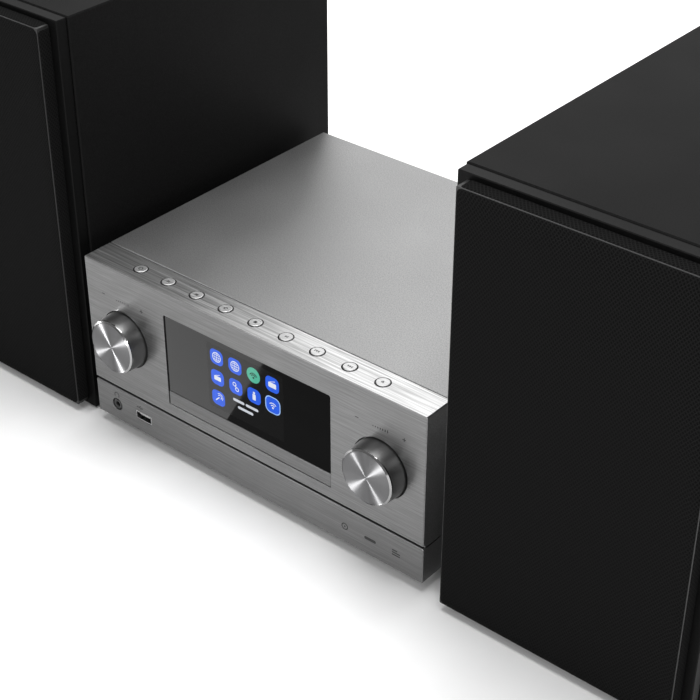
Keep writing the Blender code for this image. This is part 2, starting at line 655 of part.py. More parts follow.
def build_tray():
    """Disc tray with two wells, a slot open to the rear and the rack, and the door on its front."""
    door = box("tray_door", (-WINDOW_W / 2 + SEAM, DOOR_RECESS, DOOR_LOW),
               (WINDOW_W / 2 - SEAM, DOOR_RECESS + DOOR_T, DOOR_TOP), "brushed_aluminium")
    chamfer(door, 0.3 * MM)
    tray = box("disc_tray", (-TRAY_W / 2, TRAY_FRONT, TRAY_LOW),
               (TRAY_W / 2, TRAY_FRONT + TRAY_L, TRAY_TOP), "black_plastic")
    floor = TRAY_TOP - WELL_DEPTH
    well = rod("disc_well", DISC_R + DISC_PLAY, WELL_DEPTH + OVER, (0, DISC_Y, floor), None, 52, "up")
    small = rod("small_disc_well", SMALL_DISC_R + DISC_PLAY, WELL_DEPTH + OVER,
                (0, DISC_Y, floor - 1.2 * MM), None, 40, "up")
    slot = box("tray_slot", (-SLOT_W / 2, DISC_Y - SLOT_W / 2, TRAY_LOW - OVER),
               (SLOT_W / 2, TRAY_FRONT + TRAY_L + OVER, TRAY_TOP + OVER))
    start = TRAY_FRONT + 2.0 * MM
    channel = box("rack_channel", (PINION_X - PINION_R - ADDENDUM - 0.6 * MM, start, TRAY_LOW - OVER),
                  (RACK_X + DEDENDUM + 0.2 * MM, TRAY_FRONT + TRAY_L + OVER, TRAY_LOW + RACK_DEPTH))
    cut(tray, well, small, slot, channel)
    height = RACK_DEPTH + 0.5 * MM
    rack = outline("tray_rack", rack_points(TRAY_L - 2.5 * MM, PINION_Y - start), height,
                   (RACK_X, start, TRAY_LOW + 0.1 * MM + height / 2))
    join(tray, rack)


def build_tray_gear():
    """Pinion that drives the tray's rack, on a pin in the loader's floor."""
    low = PINION_TOP - PINION_T
    gear = outline("tray_gear", pinion_points(), PINION_T,
                   (PINION_X, PINION_Y, low + PINION_T / 2), "black_plastic")
    cut(gear, rod("tray_gear_bore", 1.5 * MM + SHAFT_FIT, PINION_T + 2 * OVER,
                  (PINION_X, PINION_Y, low - OVER), None, 20, "up"))


def build_loader():
    """Loader frame: a floor with the mechanism's cut-out, two rails and the clamp's bridge."""
    half = LOADER_W / 2
    bridge_low = TRAY_TOP + RAIL_OVER
    frame = box("loader_frame", (-half, LOADER_Y, LOADER_LOW), (half, LOADER_BACK, bridge_low + MM),
                "black_plastic")
    rail_in = TRAY_W / 2 + TRAY_RUNNING
    inside = box("loader_inside", (-rail_in, LOADER_Y - OVER, LOADER_LOW + LOADER_FLOOR_T),
                 (rail_in, LOADER_BACK + OVER, bridge_low + OVER))
    deck = box("loader_deck_hole", (-SLED_W / 2 - 6 * MM, DISC_Y - 20 * MM, LOADER_LOW - OVER),
               (SLED_W / 2 + 6 * MM, SLED_BACK, LOADER_LOW + LOADER_FLOOR_T + OVER))
    cut(frame, inside, deck)
    ledge_in = rail_in - 4.0 * MM
    for side in (-1, 1):
        inner, outer = sorted((side * ledge_in, side * (rail_in + 1.0 * MM)))
        join(frame, box("loader_ledge", (inner, LOADER_Y + 0.5 * MM, LOADER_LOW + MM),
                        (outer, LOADER_BACK - 0.5 * MM, TRAY_LOW - GAP)))
    bridge = box("clamp_bridge", (-half + 0.5 * MM, DISC_Y - BRIDGE_W / 2, bridge_low),
                 (half - 0.5 * MM, DISC_Y + BRIDGE_W / 2, bridge_low + 2.0 * MM))
    pin = rod("tray_gear_pin", 1.5 * MM, PINION_TOP - LOADER_LOW - 1.5 * MM,
              (PINION_X, PINION_Y, LOADER_LOW + MM), None, 20, "up")
    join(frame, bridge, pin)
    cut(frame, rod("clamp_hole", CLAMP_R - 3.0 * MM, 2 * OVER, (0, DISC_Y, bridge_low - OVER + MM),
                   None, 24, "up"))


def build_turntable():
    """Spindle motor, the hub that carries the disc, and the clamp over it."""
    disc_z = TRAY_TOP - WELL_DEPTH
    deck = LOADER_LOW - 2.0 * MM
    rod("spindle_motor", 12.0 * MM, 9.0 * MM, (0, DISC_Y, deck), "zinc_steel", 28, "up")
    hub = [(0, disc_z + 1.4 * MM), (5.5 * MM, disc_z + 1.2 * MM), (7.4 * MM, disc_z + 0.1 * MM),
           (7.4 * MM, disc_z - 0.4 * MM), (HUB_R, disc_z - 0.4 * MM), (HUB_R, disc_z - 2.4 * MM),
           (4.0 * MM, disc_z - 2.4 * MM), (4.0 * MM, deck + 9.0 * MM + GAP),
           (0, deck + 9.0 * MM + GAP)]
    smooth(turned("turntable_hub", hub, (0, DISC_Y, 0), "black_plastic", 24, "up"))
    bridge_low = TRAY_TOP + RAIL_OVER
    bridge_top = bridge_low + 2.0 * MM
    neck = CLAMP_R - 4.0 * MM
    clamp = [(0, bridge_top + 1.6 * MM), (CLAMP_R, bridge_top + 1.6 * MM),
             (CLAMP_R, bridge_top + 0.5 * MM), (neck, bridge_top + 0.5 * MM),
             (neck, bridge_low - 0.5 * MM), (CLAMP_R, bridge_low - 0.5 * MM),
             (CLAMP_R, TRAY_TOP + 1.0 * MM), (0, TRAY_TOP + 1.0 * MM)]
    smooth(turned("disc_clamp", clamp, (0, DISC_Y, 0), "black_plastic", 24, "up"))


SLED_TOP = LOADER_LOW + 6.0 * MM
SCREW_X = SLED_W / 2 - 4.0 * MM
SLED_AXIS_Z = LOADER_LOW + 2.5 * MM


def build_sled():
    """Laser sled on its guide rod and lead screw, its lens up in the tray's slot."""
    sled = box("laser_sled", (-SLED_W / 2, SLED_Y, LOADER_LOW - 2.0 * MM),
               (SLED_W / 2, SLED_Y + SLED_L, SLED_TOP), "black_plastic")
    lens_top = TRAY_TOP - WELL_DEPTH - 1.0 * MM
    lens = rod("lens_turret", 5.0 * MM, lens_top - SLED_TOP + MM,
               (0, SLED_Y + SLED_L / 2, SLED_TOP - MM), None, 24, "up")
    join(sled, lens)
    front = SLED_Y - 1.0 * MM
    for name, x in (("sled_rod", -SCREW_X), ("lead_screw", SCREW_X)):
        cut(sled, rod(name + "_bore", SCREW_R + SCREW_FIT, SLED_L + 2 * OVER,
                      (x, SLED_Y + SLED_L + OVER, SLED_AXIS_Z), None, 20))
        smooth(rod(name, SCREW_R, SLED_BACK - front, (x, SLED_BACK, SLED_AXIS_Z), "nickel", 20))


# ---------------------------------------------------------------- receiver: electronics
BOARD_T = 1.6 * MM
BOARD_RISE = 5.0 * MM
BOARD_INSET = 10.0 * MM
SIDE_ROOM = 12.0 * MM         # air between the cover and what stands beside the loader
LOADER_ROOM = 5.0 * MM
POWER_Y = 70.0 * MM
TRANSFORMER_L = 48.0 * MM
TRANSFORMER_H = 48.0 * MM
SINK_L = 70.0 * MM
SINK_H = 56.0 * MM
SINK_SPINE = 5.0 * MM
SINK_FINS = 6
SINK_GAP_SHARE = 0.64


def build_electronics():
    """Main board under the loader, with the mains transformer and the heat sink beside it."""
    floor = BASE_Z + SHEET_T
    board_z = floor + BOARD_RISE
    outer = HALF_W - COVER_T - SIDE_ROOM
    inner = LOADER_W / 2 + LOADER_ROOM
    board_half = inner - BOARD_INSET
    box("main_board", (-board_half, SUBFRAME_BACK + BOARD_INSET + SIDE_ROOM, board_z),
        (board_half, REAR_Y - SIDE_ROOM - BOARD_INSET, board_z + BOARD_T), "circuit_board")
    chamfer(box("mains_transformer", (-outer, POWER_Y, floor + GAP),
                (-inner, POWER_Y + TRANSFORMER_L, floor + TRANSFORMER_H), "zinc_steel"), 0.8 * MM)
    sink = box("heat_sink", (inner, POWER_Y, floor + GAP),
               (outer, POWER_Y + SINK_L, floor + SINK_H), "heat_sink_black")
    pitch = SINK_L / SINK_FINS
    half_gap = pitch * SINK_GAP_SHARE / 2
    for index in range(SINK_FINS):
        middle = POWER_Y + (index + 0.5) * pitch
        cut(sink, box("sink_gap", (inner + SINK_SPINE, middle - half_gap, floor + SINK_SPINE),
                      (outer + OVER, middle + half_gap, floor + SINK_H + OVER)))


def build_rear_sockets():
    """Mains inlet, speaker clips and aerial socket, each in its own hole in the rear panel."""
    inlet_x, clips_x, aerial_x = rear_places()
    face = REAR_Y + REAR_T + SOCKET_PROUD
    inlet = box("mains_inlet", (inlet_x - INLET_W / 2, face - INLET_D, REAR_ROW_Z - INLET_H / 2),
                (inlet_x + INLET_W / 2, face, REAR_ROW_Z + INLET_H / 2), "black_plastic")
    cut(inlet, box("inlet_mouth",
                   (inlet_x - INLET_MOUTH_W / 2, face - INLET_MOUTH_D, REAR_ROW_Z - INLET_MOUTH_H / 2),
                   (inlet_x + INLET_MOUTH_W / 2, face + OVER, REAR_ROW_Z + INLET_MOUTH_H / 2),
                   None, 1, 4.0 * MM, 5))
    for side in (-1, 1):
        join(inlet, rod("inlet_pin", PIN_R, PIN_L,
                        (inlet_x + side * PIN_X, face - INLET_MOUTH_D - 1.0 * MM, REAR_ROW_Z), None, 16, "back"))
    clips = box("speaker_terminals", (clips_x - CLIP_W / 2, REAR_Y - CLIP_D, REAR_ROW_Z - CLIP_H / 2),
                (clips_x + CLIP_W / 2, face, REAR_ROW_Z + CLIP_H / 2), "black_plastic")
    for column in range(4):
        x = clips_x + (column - 1.5) * CLIP_PITCH
        lever_low = REAR_ROW_Z - 1.0 * MM
        cut(clips, rod("wire_hole", WIRE_HOLE_R, CLIP_D + OVER,
                       (x, face - CLIP_D + 2.0 * MM, REAR_ROW_Z - CLIP_H / 4), None, 16, "back"))
        join(clips, box("clip_lever", (x - LEVER_W / 2, face - 1.0 * MM, lever_low),
                        (x + LEVER_W / 2, face + LEVER_PROUD, lever_low + LEVER_H)))
    aerial = [(0, 13 * MM), (1.1 * MM, 13 * MM), (1.1 * MM, 5 * MM), (3.9 * MM, 5 * MM),
              (3.9 * MM, 12 * MM), (4.8 * MM, 12 * MM), (4.8 * MM, 3 * MM), (AERIAL_R, 3 * MM),
              (AERIAL_R, -6 * MM), (0, -6 * MM)]
    smooth(turned("aerial_socket", aerial, (aerial_x, REAR_Y, REAR_ROW_Z), "nickel", 20, "back"))


# ---------------------------------------------------------------- speakers
def build_cabinet(name, x):
    """Speaker box: a shell open at the front, cut out at the back for the terminal cup."""
    half = SPEAKER_W / 2
    cabinet = box(name + "_cabinet", (x - half, CABINET_Y, 0), (x + half, SPEAKER_BACK, SPEAKER_H),
                  "cabinet_black")
    chamfer(cabinet, 0.8 * MM)
    wall = CABINET_WALL
    cut(cabinet, box(name + "_cabinet_inside", (x - half + wall, CABINET_Y - OVER, wall),
                     (x + half - wall, SPEAKER_BACK - wall, SPEAKER_H - wall)))
    hole = TERMINAL_W / 2 + GAP
    cut(cabinet, box(name + "_terminal_hole",
                     (x - hole, SPEAKER_BACK - wall - OVER, TERMINAL_RISE - hole),
                     (x + hole, SPEAKER_BACK + OVER, TERMINAL_RISE + hole)))


def peg_places(x):
    """The four corners where a grille plugs into its baffle."""
    across = SPEAKER_W / 2 - GRILLE_INSET - 9.0 * MM
    for side in (-1, 1):
        for z in (GRILLE_BOTTOM + 11.0 * MM, SPEAKER_H - GRILLE_TOP - 11.0 * MM):
            yield x + side * across, z


def build_baffle(name, x):
    """Front board of a speaker, with the driver holes and the sockets for the grille's pegs."""
    half = SPEAKER_W / 2 - BAFFLE_INSET
    baffle = box(name + "_baffle", (x - half, BAFFLE_Y, 0.8 * MM),
                 (x + half, BAFFLE_Y + BAFFLE_T, SPEAKER_H - 0.6 * MM), "baffle_black")
    chamfer(baffle, 0.5 * MM)
    back = BAFFLE_Y + BAFFLE_T + OVER
    for radius, z in ((WOOFER_MOUTH_R + 2.0 * MM + GAP, WOOFER_RISE),
                      (TWEETER_R - 5.0 * MM + GAP, TWEETER_RISE)):
        cut(baffle, rod("driver_hole", radius, BAFFLE_T + 2 * OVER, (x, back, z), None, 32))
    for peg_x, z in peg_places(x):
        cut(baffle, rod("peg_socket", PEG_R + GAP, PEG_L + OVER + GAP,
                        (peg_x, BAFFLE_Y + PEG_L + GAP, z), None, 16))


def build_grille(name, x):
    """Cloth-covered grille: a shallow tray open behind, with a peg at each corner."""
    half = SPEAKER_W / 2 - GRILLE_INSET
    back = SPEAKER_FRONT + GRILLE_D
    low, high = GRILLE_BOTTOM, SPEAKER_H - GRILLE_TOP
    grille = box(name + "_grille", (x - half, SPEAKER_FRONT, low), (x + half, back, high),
                 "grille_cloth", 1, GRILLE_RADIUS, 4)
    wall = GRILLE_WALL
    cut(grille, box(name + "_grille_inside", (x - half + wall, SPEAKER_FRONT + GRILLE_CLOTH, low + wall),
                    (x + half - wall, back + OVER, high - wall)))
    for peg_x, z in peg_places(x):
        join(grille, rod("peg", PEG_R, PEG_L + GRILLE_D - GRILLE_CLOTH + 0.5 * MM,
                         (peg_x, SPEAKER_FRONT + GRILLE_CLOTH - 0.5 * MM, z), None, 16, "back"))


def build_drivers(name, x):
    """Woofer frame with its magnet, the moving cone, and the tweeter."""
    face = BAFFLE_Y - GAP
    mouth = WOOFER_MOUTH_R
    neck = 34.0 * MM
    magnet_r = neck + 6.0 * MM
    floor = -MAGNET_DEPTH + 20.0 * MM
    skirt = mouth + 2.0 * MM
    frame = [(0, floor), (22.0 * MM, floor), (neck, floor + 8.0 * MM), (mouth, -14.0 * MM),
             (mouth, WOOFER_FLANGE - 0.4 * MM), (mouth + 1.0 * MM, WOOFER_FLANGE),
             (WOOFER_R - 1.0 * MM, WOOFER_FLANGE), (WOOFER_R, WOOFER_FLANGE - 1.0 * MM), (WOOFER_R, 0),
             (skirt, 0), (skirt, -15.0 * MM), (neck + 4.0 * MM, floor + 6.0 * MM),
             (magnet_r, floor + 2.0 * MM), (magnet_r, -MAGNET_DEPTH), (0, -MAGNET_DEPTH)]
    smooth(turned(name + "_woofer_frame", frame, (x, face, WOOFER_RISE), "black_plastic", 32))
    edge = mouth - CONE_EDGE_PLAY
    roll = SURROUND_W / 2
    surround = edge - SURROUND_W
    front = [(0, -9.0 * MM), (8.0 * MM, -9.8 * MM), (15.0 * MM, -13.5 * MM), (surround, -CONE_SINK)]
    arch = [(surround + roll - roll * math.cos(math.pi * step / 4),
             -CONE_SINK + SURROUND_H * math.sin(math.pi * step / 4)) for step in (1, 2, 3)]
    rear = [(edge, -CONE_SINK), (edge, -CONE_SINK - 1.5 * MM), (surround, -CONE_SINK - 1.5 * MM),
            (18.0 * MM, -15.5 * MM), (16.0 * MM, -VOICE_COIL_DEPTH), (0, -VOICE_COIL_DEPTH)]
    smooth(turned(name + "_woofer_cone", front + arch + rear, (x, face, WOOFER_RISE), "cone_grey", 32))
    dome = [(DOME_R * math.sin(math.pi / 2 * step / 4),
             -HORN_DEPTH + DOME_H * math.cos(math.pi / 2 * step / 4)) for step in range(5)]
    body_r = TWEETER_R - 5.0 * MM
    flange = [(DOME_R + 2.0 * MM, -HORN_DEPTH), (22.0 * MM, 1.6 * MM), (TWEETER_R - 1.0 * MM, 2.0 * MM),
              (TWEETER_R, 1.0 * MM), (TWEETER_R, 0), (body_r, 0), (body_r, -TWEETER_DEPTH), (0, -TWEETER_DEPTH)]
    smooth(turned(name + "_tweeter", dome + flange, (x, face, TWEETER_RISE), "black_plastic", 28))


def build_terminal_cup(name, x):
    """Recessed cup in the cabinet's back, with its two binding posts."""
    half = TERMINAL_W / 2
    face = SPEAKER_BACK - GAP
    z = TERMINAL_RISE
    open_half = half - TERMINAL_RIM
    cup = box(name + "_terminal_cup", (x - half, face - TERMINAL_DEPTH - 3.0 * MM, z - half),
              (x + half, face, z + half), "black_plastic")
    cut(cup, box(name + "_cup_recess", (x - open_half, face - TERMINAL_DEPTH, z - open_half),
                 (x + open_half, face + OVER, z + open_half), None, 1, 5.0 * MM, 4))
    for side in (-1, 1):
        join(cup, rod("binding_post", POST_R, POST_L,
                      (x + side * POST_X, face - TERMINAL_DEPTH - 1.0 * MM, z), None, 20, "back"))


# ---------------------------------------------------------------- the whole system
def build_receiver():
    """Everything between the two speakers."""
    build_front_panel()
    build_lower_fascia()
    build_top_cover()
    build_chassis_base()
    build_rear_panel()
    build_subframe()
    build_feet()
    for name, x, room in (("tune", -KNOB_X, KNOB_PUSH), ("volume", KNOB_X, 0.0)):
        build_knob(name + "_knob", x)
        build_encoder(name + "_encoder", x)
        build_shaft(name + "_shaft", x, room)
    build_buttons()
    build_sockets()
    build_display()
    build_tray()
    build_tray_gear()
    build_loader()
    build_turntable()
    build_sled()
    build_electronics()
    build_rear_sockets()


def build_speaker(name, x):
    """One speaker, its pieces named after the side it stands on."""
    build_cabinet(name, x)
    build_baffle(name, x)
    build_grille(name, x)
    build_drivers(name, x)
    build_terminal_cup(name, x)


build_receiver()
build_speaker("left", -SPEAKER_X)
build_speaker("right", SPEAKER_X)
bpy.context.view_layer.update()
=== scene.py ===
"""The looks of the mini hifi system: finishes, fine pieces, light, floor and camera."""
import json
import math

import bmesh
import bpy
from mathutils import Matrix, Vector


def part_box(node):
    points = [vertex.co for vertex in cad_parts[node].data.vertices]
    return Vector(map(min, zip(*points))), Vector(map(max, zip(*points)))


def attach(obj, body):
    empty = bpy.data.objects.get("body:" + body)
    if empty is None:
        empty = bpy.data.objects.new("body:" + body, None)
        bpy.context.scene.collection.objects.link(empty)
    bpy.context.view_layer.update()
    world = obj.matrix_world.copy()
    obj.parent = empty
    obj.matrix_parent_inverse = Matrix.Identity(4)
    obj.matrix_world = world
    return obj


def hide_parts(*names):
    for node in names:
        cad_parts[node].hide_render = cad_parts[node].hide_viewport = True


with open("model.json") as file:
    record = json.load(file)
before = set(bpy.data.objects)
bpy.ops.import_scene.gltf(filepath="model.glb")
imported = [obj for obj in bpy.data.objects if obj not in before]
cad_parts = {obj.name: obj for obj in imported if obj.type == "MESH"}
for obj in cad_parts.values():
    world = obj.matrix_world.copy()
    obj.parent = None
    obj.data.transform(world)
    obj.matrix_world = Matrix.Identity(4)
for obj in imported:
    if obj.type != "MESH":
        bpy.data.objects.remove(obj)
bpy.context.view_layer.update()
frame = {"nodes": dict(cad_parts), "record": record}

MM = 0.001


# ---------------------------------------------------------------- materials
def node(material, kind, **inputs):
    """A shader node in the material's tree, with its input values set by name."""
    made = material.node_tree.nodes.new("ShaderNode" + kind)
    for key, value in inputs.items():
        made.inputs[key.replace("_", " ")].default_value = value
    return made


def wire(material, source, target):
    material.node_tree.links.new(source, target)


def shader(material):
    return material.node_tree.nodes["Principled BSDF"]


def finish(name, colour, roughness, metallic=0.0, **more):
    """A Principled material. Its even values sit on the shader's own sockets."""
    material = bpy.data.materials.new(name)
    material.use_nodes = True
    values = {"Base_Color": (*colour, 1), "Roughness": roughness, "Metallic": metallic, **more}
    for socket, value in values.items():
        shader(material).inputs[socket.replace("_", " ")].default_value = value
    return material


def grain(material, scale, detail=2.0, source="Object"):
    """Noise in the piece's own coordinates, with scale features a metre along x, y and z."""
    stretch = node(material, "Mapping", Scale=scale)
    wire(material, node(material, "TexCoord").outputs[source], stretch.inputs["Vector"])
    noise = node(material, "TexNoise", Scale=1.0, Detail=detail)
    wire(material, stretch.outputs["Vector"], noise.inputs["Vector"])
    return noise.outputs["Fac"]


def waves(material, scale, turn=(0, 0, 0), source="Object"):
    """Even bands of sine waves along x, turned by turn.
    A wave repeats every 0.314 / scale metres."""
    stretch = node(material, "Mapping", Scale=(scale, scale, scale), Rotation=turn)
    wire(material, node(material, "TexCoord").outputs[source], stretch.inputs["Vector"])
    made = node(material, "TexWave", Scale=1.0)
    wire(material, stretch.outputs["Vector"], made.inputs["Vector"])
    return made.outputs["Fac"]


def combined(material, first, second, how="MULTIPLY"):
    """Two values through one Math node."""
    made = material.node_tree.nodes.new("ShaderNodeMath")
    made.operation = how
    wire(material, first, made.inputs[0])
    wire(material, second, made.inputs[1])
    return made.outputs[0]


def spread(material, fac, low, high, start=0.3, end=0.7):
    """fac from start to end, turned into low to high."""
    made = node(material, "MapRange", From_Min=start, From_Max=end, To_Min=low, To_Max=high)
    wire(material, fac, made.inputs["Value"])
    return made.outputs["Result"]


def tint(material, fac, dark, light, start=0.3, end=0.7):
    """Base colour that runs from dark to light as fac goes from start to end."""
    ramp = material.node_tree.nodes.new("ShaderNodeValToRGB")
    for element, place, colour in zip(ramp.color_ramp.elements, (start, end), (dark, light)):
        element.position = place
        element.color = (*colour, 1)
    wire(material, fac, ramp.inputs["Fac"])
    wire(material, ramp.outputs["Color"], shader(material).inputs["Base Color"])


def rough(material, fac, low, high):
    """Roughness that varies from low to high."""
    wire(material, spread(material, fac, low, high), shader(material).inputs["Roughness"])


def emboss(material, fac, depth, strength=1.0):
    """Relief of that depth in metres."""
    bump = node(material, "Bump", Strength=strength, Distance=depth)
    wire(material, fac, bump.inputs["Height"])
    wire(material, bump.outputs["Normal"], shader(material).inputs["Normal"])


def grey(value):
    return (value, value, value)


QUARTER_TURN = 0.25             # an anisotropic gloss runs across the brushing
BRUSH_RELIEF = 0.004 * MM
TURNED_RELIEF = 0.002 * MM
LIP_ROUGHER = 0.09              # the lip's top is that much rougher than the plate's front


def brushed(name, value, roughness, across, streak, top=None):
    """Metal brushed along x. across is the fineness of the brushing in features a metre.
    top is the base value of upward faces, a painted highlight that makes the lip's top far lighter
    than the front, over a coarser brushing."""
    made = finish(name, grey(value), roughness, 1.0, Anisotropic=0.6,
                  Anisotropic_Rotation=QUARTER_TURN)
    fine = grain(made, (55, across, across), 3.0)
    long = grain(made, (9, across * 0.45, across * 0.45), 2.0)
    both = combined(made, fine, long, "MULTIPLY")
    tint(made, both, grey(value * (1 - streak)), grey(value * (1 + streak)), 0.12, 0.42)
    rough(made, long, roughness - 0.05, roughness + 0.06)
    # painted highlight: upward faces take a far lighter base colour, and a little more roughness
    if top:
        up = painted_lit_top(made, top, across)
        socket = shader(made).inputs["Roughness"]
        rougher = spread(made, up, 0, LIP_ROUGHER, 0, 1)
        wire(made, combined(made, socket.links[0].from_socket, rougher, "ADD"), socket)
    emboss(made, fine, BRUSH_RELIEF)
    along = node(made, "CombineXYZ", X=1.0, Y=0.013, Z=0.021)
    wire(made, along.outputs["Vector"], shader(made).inputs["Tangent"])
    return made


def painted_lit_top(material, top, across):
    """Mixes a second, coarser brushing over the faces that look up, with a much lighter base colour
    there: a painted highlight on the lip's top. Gives back how far a face looks up, from 0 to 1."""
    streaks = grain(material, (22, across * 0.42, across * 0.42), 4.0)
    # the painted highlight's colour: top times 0.62 to 1.28 along the coarse streaks
    coarse = material.node_tree.nodes.new("ShaderNodeValToRGB")
    for element, place, share in zip(coarse.color_ramp.elements, (0.32, 0.66), (0.62, 1.28)):
        element.position = place
        element.color = (*grey(min(1.0, top * share)), 1)
    wire(material, streaks, coarse.inputs["Fac"])
    split = material.node_tree.nodes.new("ShaderNodeSeparateXYZ")
    wire(material, node(material, "NewGeometry").outputs["Normal"], split.inputs[0])
    up = spread(material, split.outputs["Z"], 0.0, 1.0, 0.8, 0.9)
    blend = material.node_tree.nodes.new("ShaderNodeMix")
    blend.data_type = "RGBA"
    socket = shader(material).inputs["Base Color"]
    wire(material, up, blend.inputs["Factor"])
    wire(material, socket.links[0].from_socket, blend.inputs["A"])
    wire(material, coarse.outputs["Color"], blend.inputs["B"])
    wire(material, blend.outputs["Result"], socket)
    return up


def turned_metal(name, value, roughness, pitch, anisotropy, axis="Y", blue=1.0):
    """Metal turned on a lathe round the piece's own axis. blue is its blue over its red."""
    made = finish(name, (value, value, value * blue), roughness, 1.0, Anisotropic=anisotropy,
                  Anisotropic_Rotation=QUARTER_TURN)
    around = node(made, "Tangent")
    around.direction_type = "RADIAL"
    around.axis = axis
    wire(made, around.outputs["Tangent"], shader(made).inputs["Tangent"])
    place = node(made, "TexCoord")
    spot = node(made, "Mapping", Location=(-0.5, -0.5, -0.5))
    wire(made, place.outputs["Generated"], spot.inputs["Vector"])
    flat = without_axis(made, axis)
    wire(made, spot.outputs["Vector"], flat.inputs[0])
    length = made.node_tree.nodes.new("ShaderNodeVectorMath")
    length.operation = "LENGTH"
    wire(made, flat.outputs["Vector"], length.inputs[0])
    grooves = node(made, "TexNoise", Scale=pitch, Detail=3.0)
    grooves.noise_dimensions = "1D"
    wire(made, length.outputs["Value"], grooves.inputs["W"])
    light = value * 1.08
    tint(made, grooves.outputs["Fac"], grey(value * 0.9), (light, light, light * blue))
    emboss(made, grooves.outputs["Fac"], TURNED_RELIEF)
    return made


def without_axis(material, axis):
    """A vector node that drops the part of a vector along the axis."""
    made = material.node_tree.nodes.new("ShaderNodeVectorMath")
    made.operation = "MULTIPLY"
    made.inputs[1].default_value = (1, 0, 1) if axis == "Y" else (1, 1, 0)
    return made


def speckled(name, value, roughness, metallic, size, contrast=0.12, depth=0.01 * MM, **more):
    """A fine even surface: bead-blasted metal, moulded plastic, foil or paint."""
    made = finish(name, grey(value), roughness, metallic, **more)
    fine = grain(made, (size, size, size), 2.0)
    tint(made, fine, grey(value * (1 - contrast)), grey(value * (1 + contrast)))
    rough(made, grain(made, (14, 14, 14), 3.0), roughness - 0.03, roughness + 0.04)
    emboss(made, fine, depth)
    return made


def glowing(name, colour, strength):
    """A lit part of the screen, behind gloss."""
    made = finish(name, grey(0.004), 0.06, Specular_IOR_Level=0.012, Emission_Strength=strength)
    fine = grain(made, (420, 420, 420), 1.0)
    ramp = made.node_tree.nodes.new("ShaderNodeValToRGB")
    for element, place, share in zip(ramp.color_ramp.elements, (0.25, 0.75), (0.93, 1.07)):
        element.position = place
        element.color = (*[min(1, c * share) for c in colour], 1)
    wire(made, fine, ramp.inputs["Fac"])
    wire(made, ramp.outputs["Color"], shader(made).inputs["Emission Color"])
    return made


THREAD_PITCH = 1.8 * MM
THREAD = 0.314 / THREAD_PITCH
THREAD_ANGLE = math.radians(38)


def cloth_material():
    """Black speaker cloth: two sets of threads at an angle, in the cloth's own flat coordinates."""
    made = finish("speaker_cloth", grey(0.006), 0.85, Specular_IOR_Level=0.03)
    one = waves(made, THREAD, (0, 0, THREAD_ANGLE), "UV")
    two = waves(made, THREAD, (0, 0, -THREAD_ANGLE), "UV")
    threads = combined(made, one, two, "MAXIMUM")
    uneven = grain(made, (2600, 2600, 2600), 2.0, "UV")
    cloth = combined(made, threads, uneven, "MULTIPLY")
    tint(made, cloth, grey(0.004), grey(0.02), 0.25, 0.85)
    emboss(made, threads, 0.12 * MM)
    return made


def board_material():
    """Green solder mask with copper runs under it."""
    made = finish("circuit_board", (0.02, 0.09, 0.04), 0.4)
    runs = waves(made, 120)
    patch = grain(made, (60, 60, 60), 1.0)
    tint(made, combined(made, runs, patch), (0.012, 0.06, 0.025), (0.05, 0.16, 0.08), 0.2, 0.5)
    emboss(made, runs, 0.02 * MM)
    return made


def red_plastic():
    """Moulded red plastic for the speaker clips and the binding posts."""
    made = finish("red_plastic", grey(0.3), 0.4)
    tint(made, grain(made, (900, 900, 900)), (0.30, 0.012, 0.010), (0.42, 0.02, 0.016))
    rough(made, grain(made, (14, 14, 14), 3.0), 0.37, 0.44)
    emboss(made, grain(made, (1500, 1500, 1500)), 0.005 * MM)
    return made


METAL = {
    # top=0.57 against 0.212 paints the lip's upward faces far lighter than the front: a painted
    # highlight
    "panel": brushed("brushed_panel", 0.212, 0.36, 2200, 0.22, top=0.57),
    "lip": brushed("brushed_key", 0.62, 0.52, 1500, 0.2),
    "fascia": brushed("brushed_fascia", 0.195, 0.38, 2200, 0.2),
    "door": brushed("brushed_door", 0.175, 0.36, 2200, 0.2),
    "cover": speckled("blasted_cover", 0.33, 0.5, 1.0, 1300, 0.2, 0.02 * MM),
    "knob_face": turned_metal("knob_face", 0.2, 0.5, 160, 1.0, blue=1.03),
    "knob_side": turned_metal("knob_side", 0.2, 0.32, 90, 0.5),
    # value 0.36 is far darker than polished aluminium: painted shade that stands in for a dark
    # reflection in the knobs' rims
    "polished": speckled("polished_edge_painted_dark", 0.36, 0.08, 1.0, 900, 0.03, 0.0005 * MM),
    "button": turned_metal("button_face", 0.42, 0.42, 60, 0.4, axis="Z"),
    "steel": speckled("zinc_steel", 0.5, 0.38, 1.0, 160, 0.2, 0.004 * MM),
    "nickel": speckled("nickel", 0.6, 0.2, 1.0, 900, 0.06, 0.001 * MM),
}
BLACK = {
    "glass": speckled("black_glass", 0.0012, 0.02, 0.0, 50, 0.2, 0.0001 * MM,
                      Specular_IOR_Level=0.025),
    "plastic": speckled("black_plastic", 0.014, 0.5, 0.0, 2600, 0.2, 0.02 * MM),
    "gloss": speckled("gloss_black", 0.006, 0.16, 0.0, 900, 0.2, 0.001 * MM),
    "rubber": speckled("black_rubber", 0.02, 0.8, 0.0, 1800, 0.25, 0.03 * MM),
    "anodised": speckled("heat_sink_black", 0.035, 0.4, 0.8, 1400, 0.2, 0.006 * MM),
    "cabinet": speckled("cabinet_foil", 0.007, 0.5, 0.0, 1300, 0.35, 0.03 * MM,
                        Specular_IOR_Level=0.045),
    "baffle": speckled("baffle_paint", 0.004, 0.45, 0.0, 1100, 0.3, 0.02 * MM,
                       Specular_IOR_Level=0.08),
    "cone": speckled("woofer_cone", 0.03, 0.6, 0.0, 900, 0.3, 0.05 * MM),
    "ink": speckled("printed_ink", 0.012, 0.55, 0.0, 2400, 0.2, 0.002 * MM),
}
CLOTH = cloth_material()
RED = red_plastic()
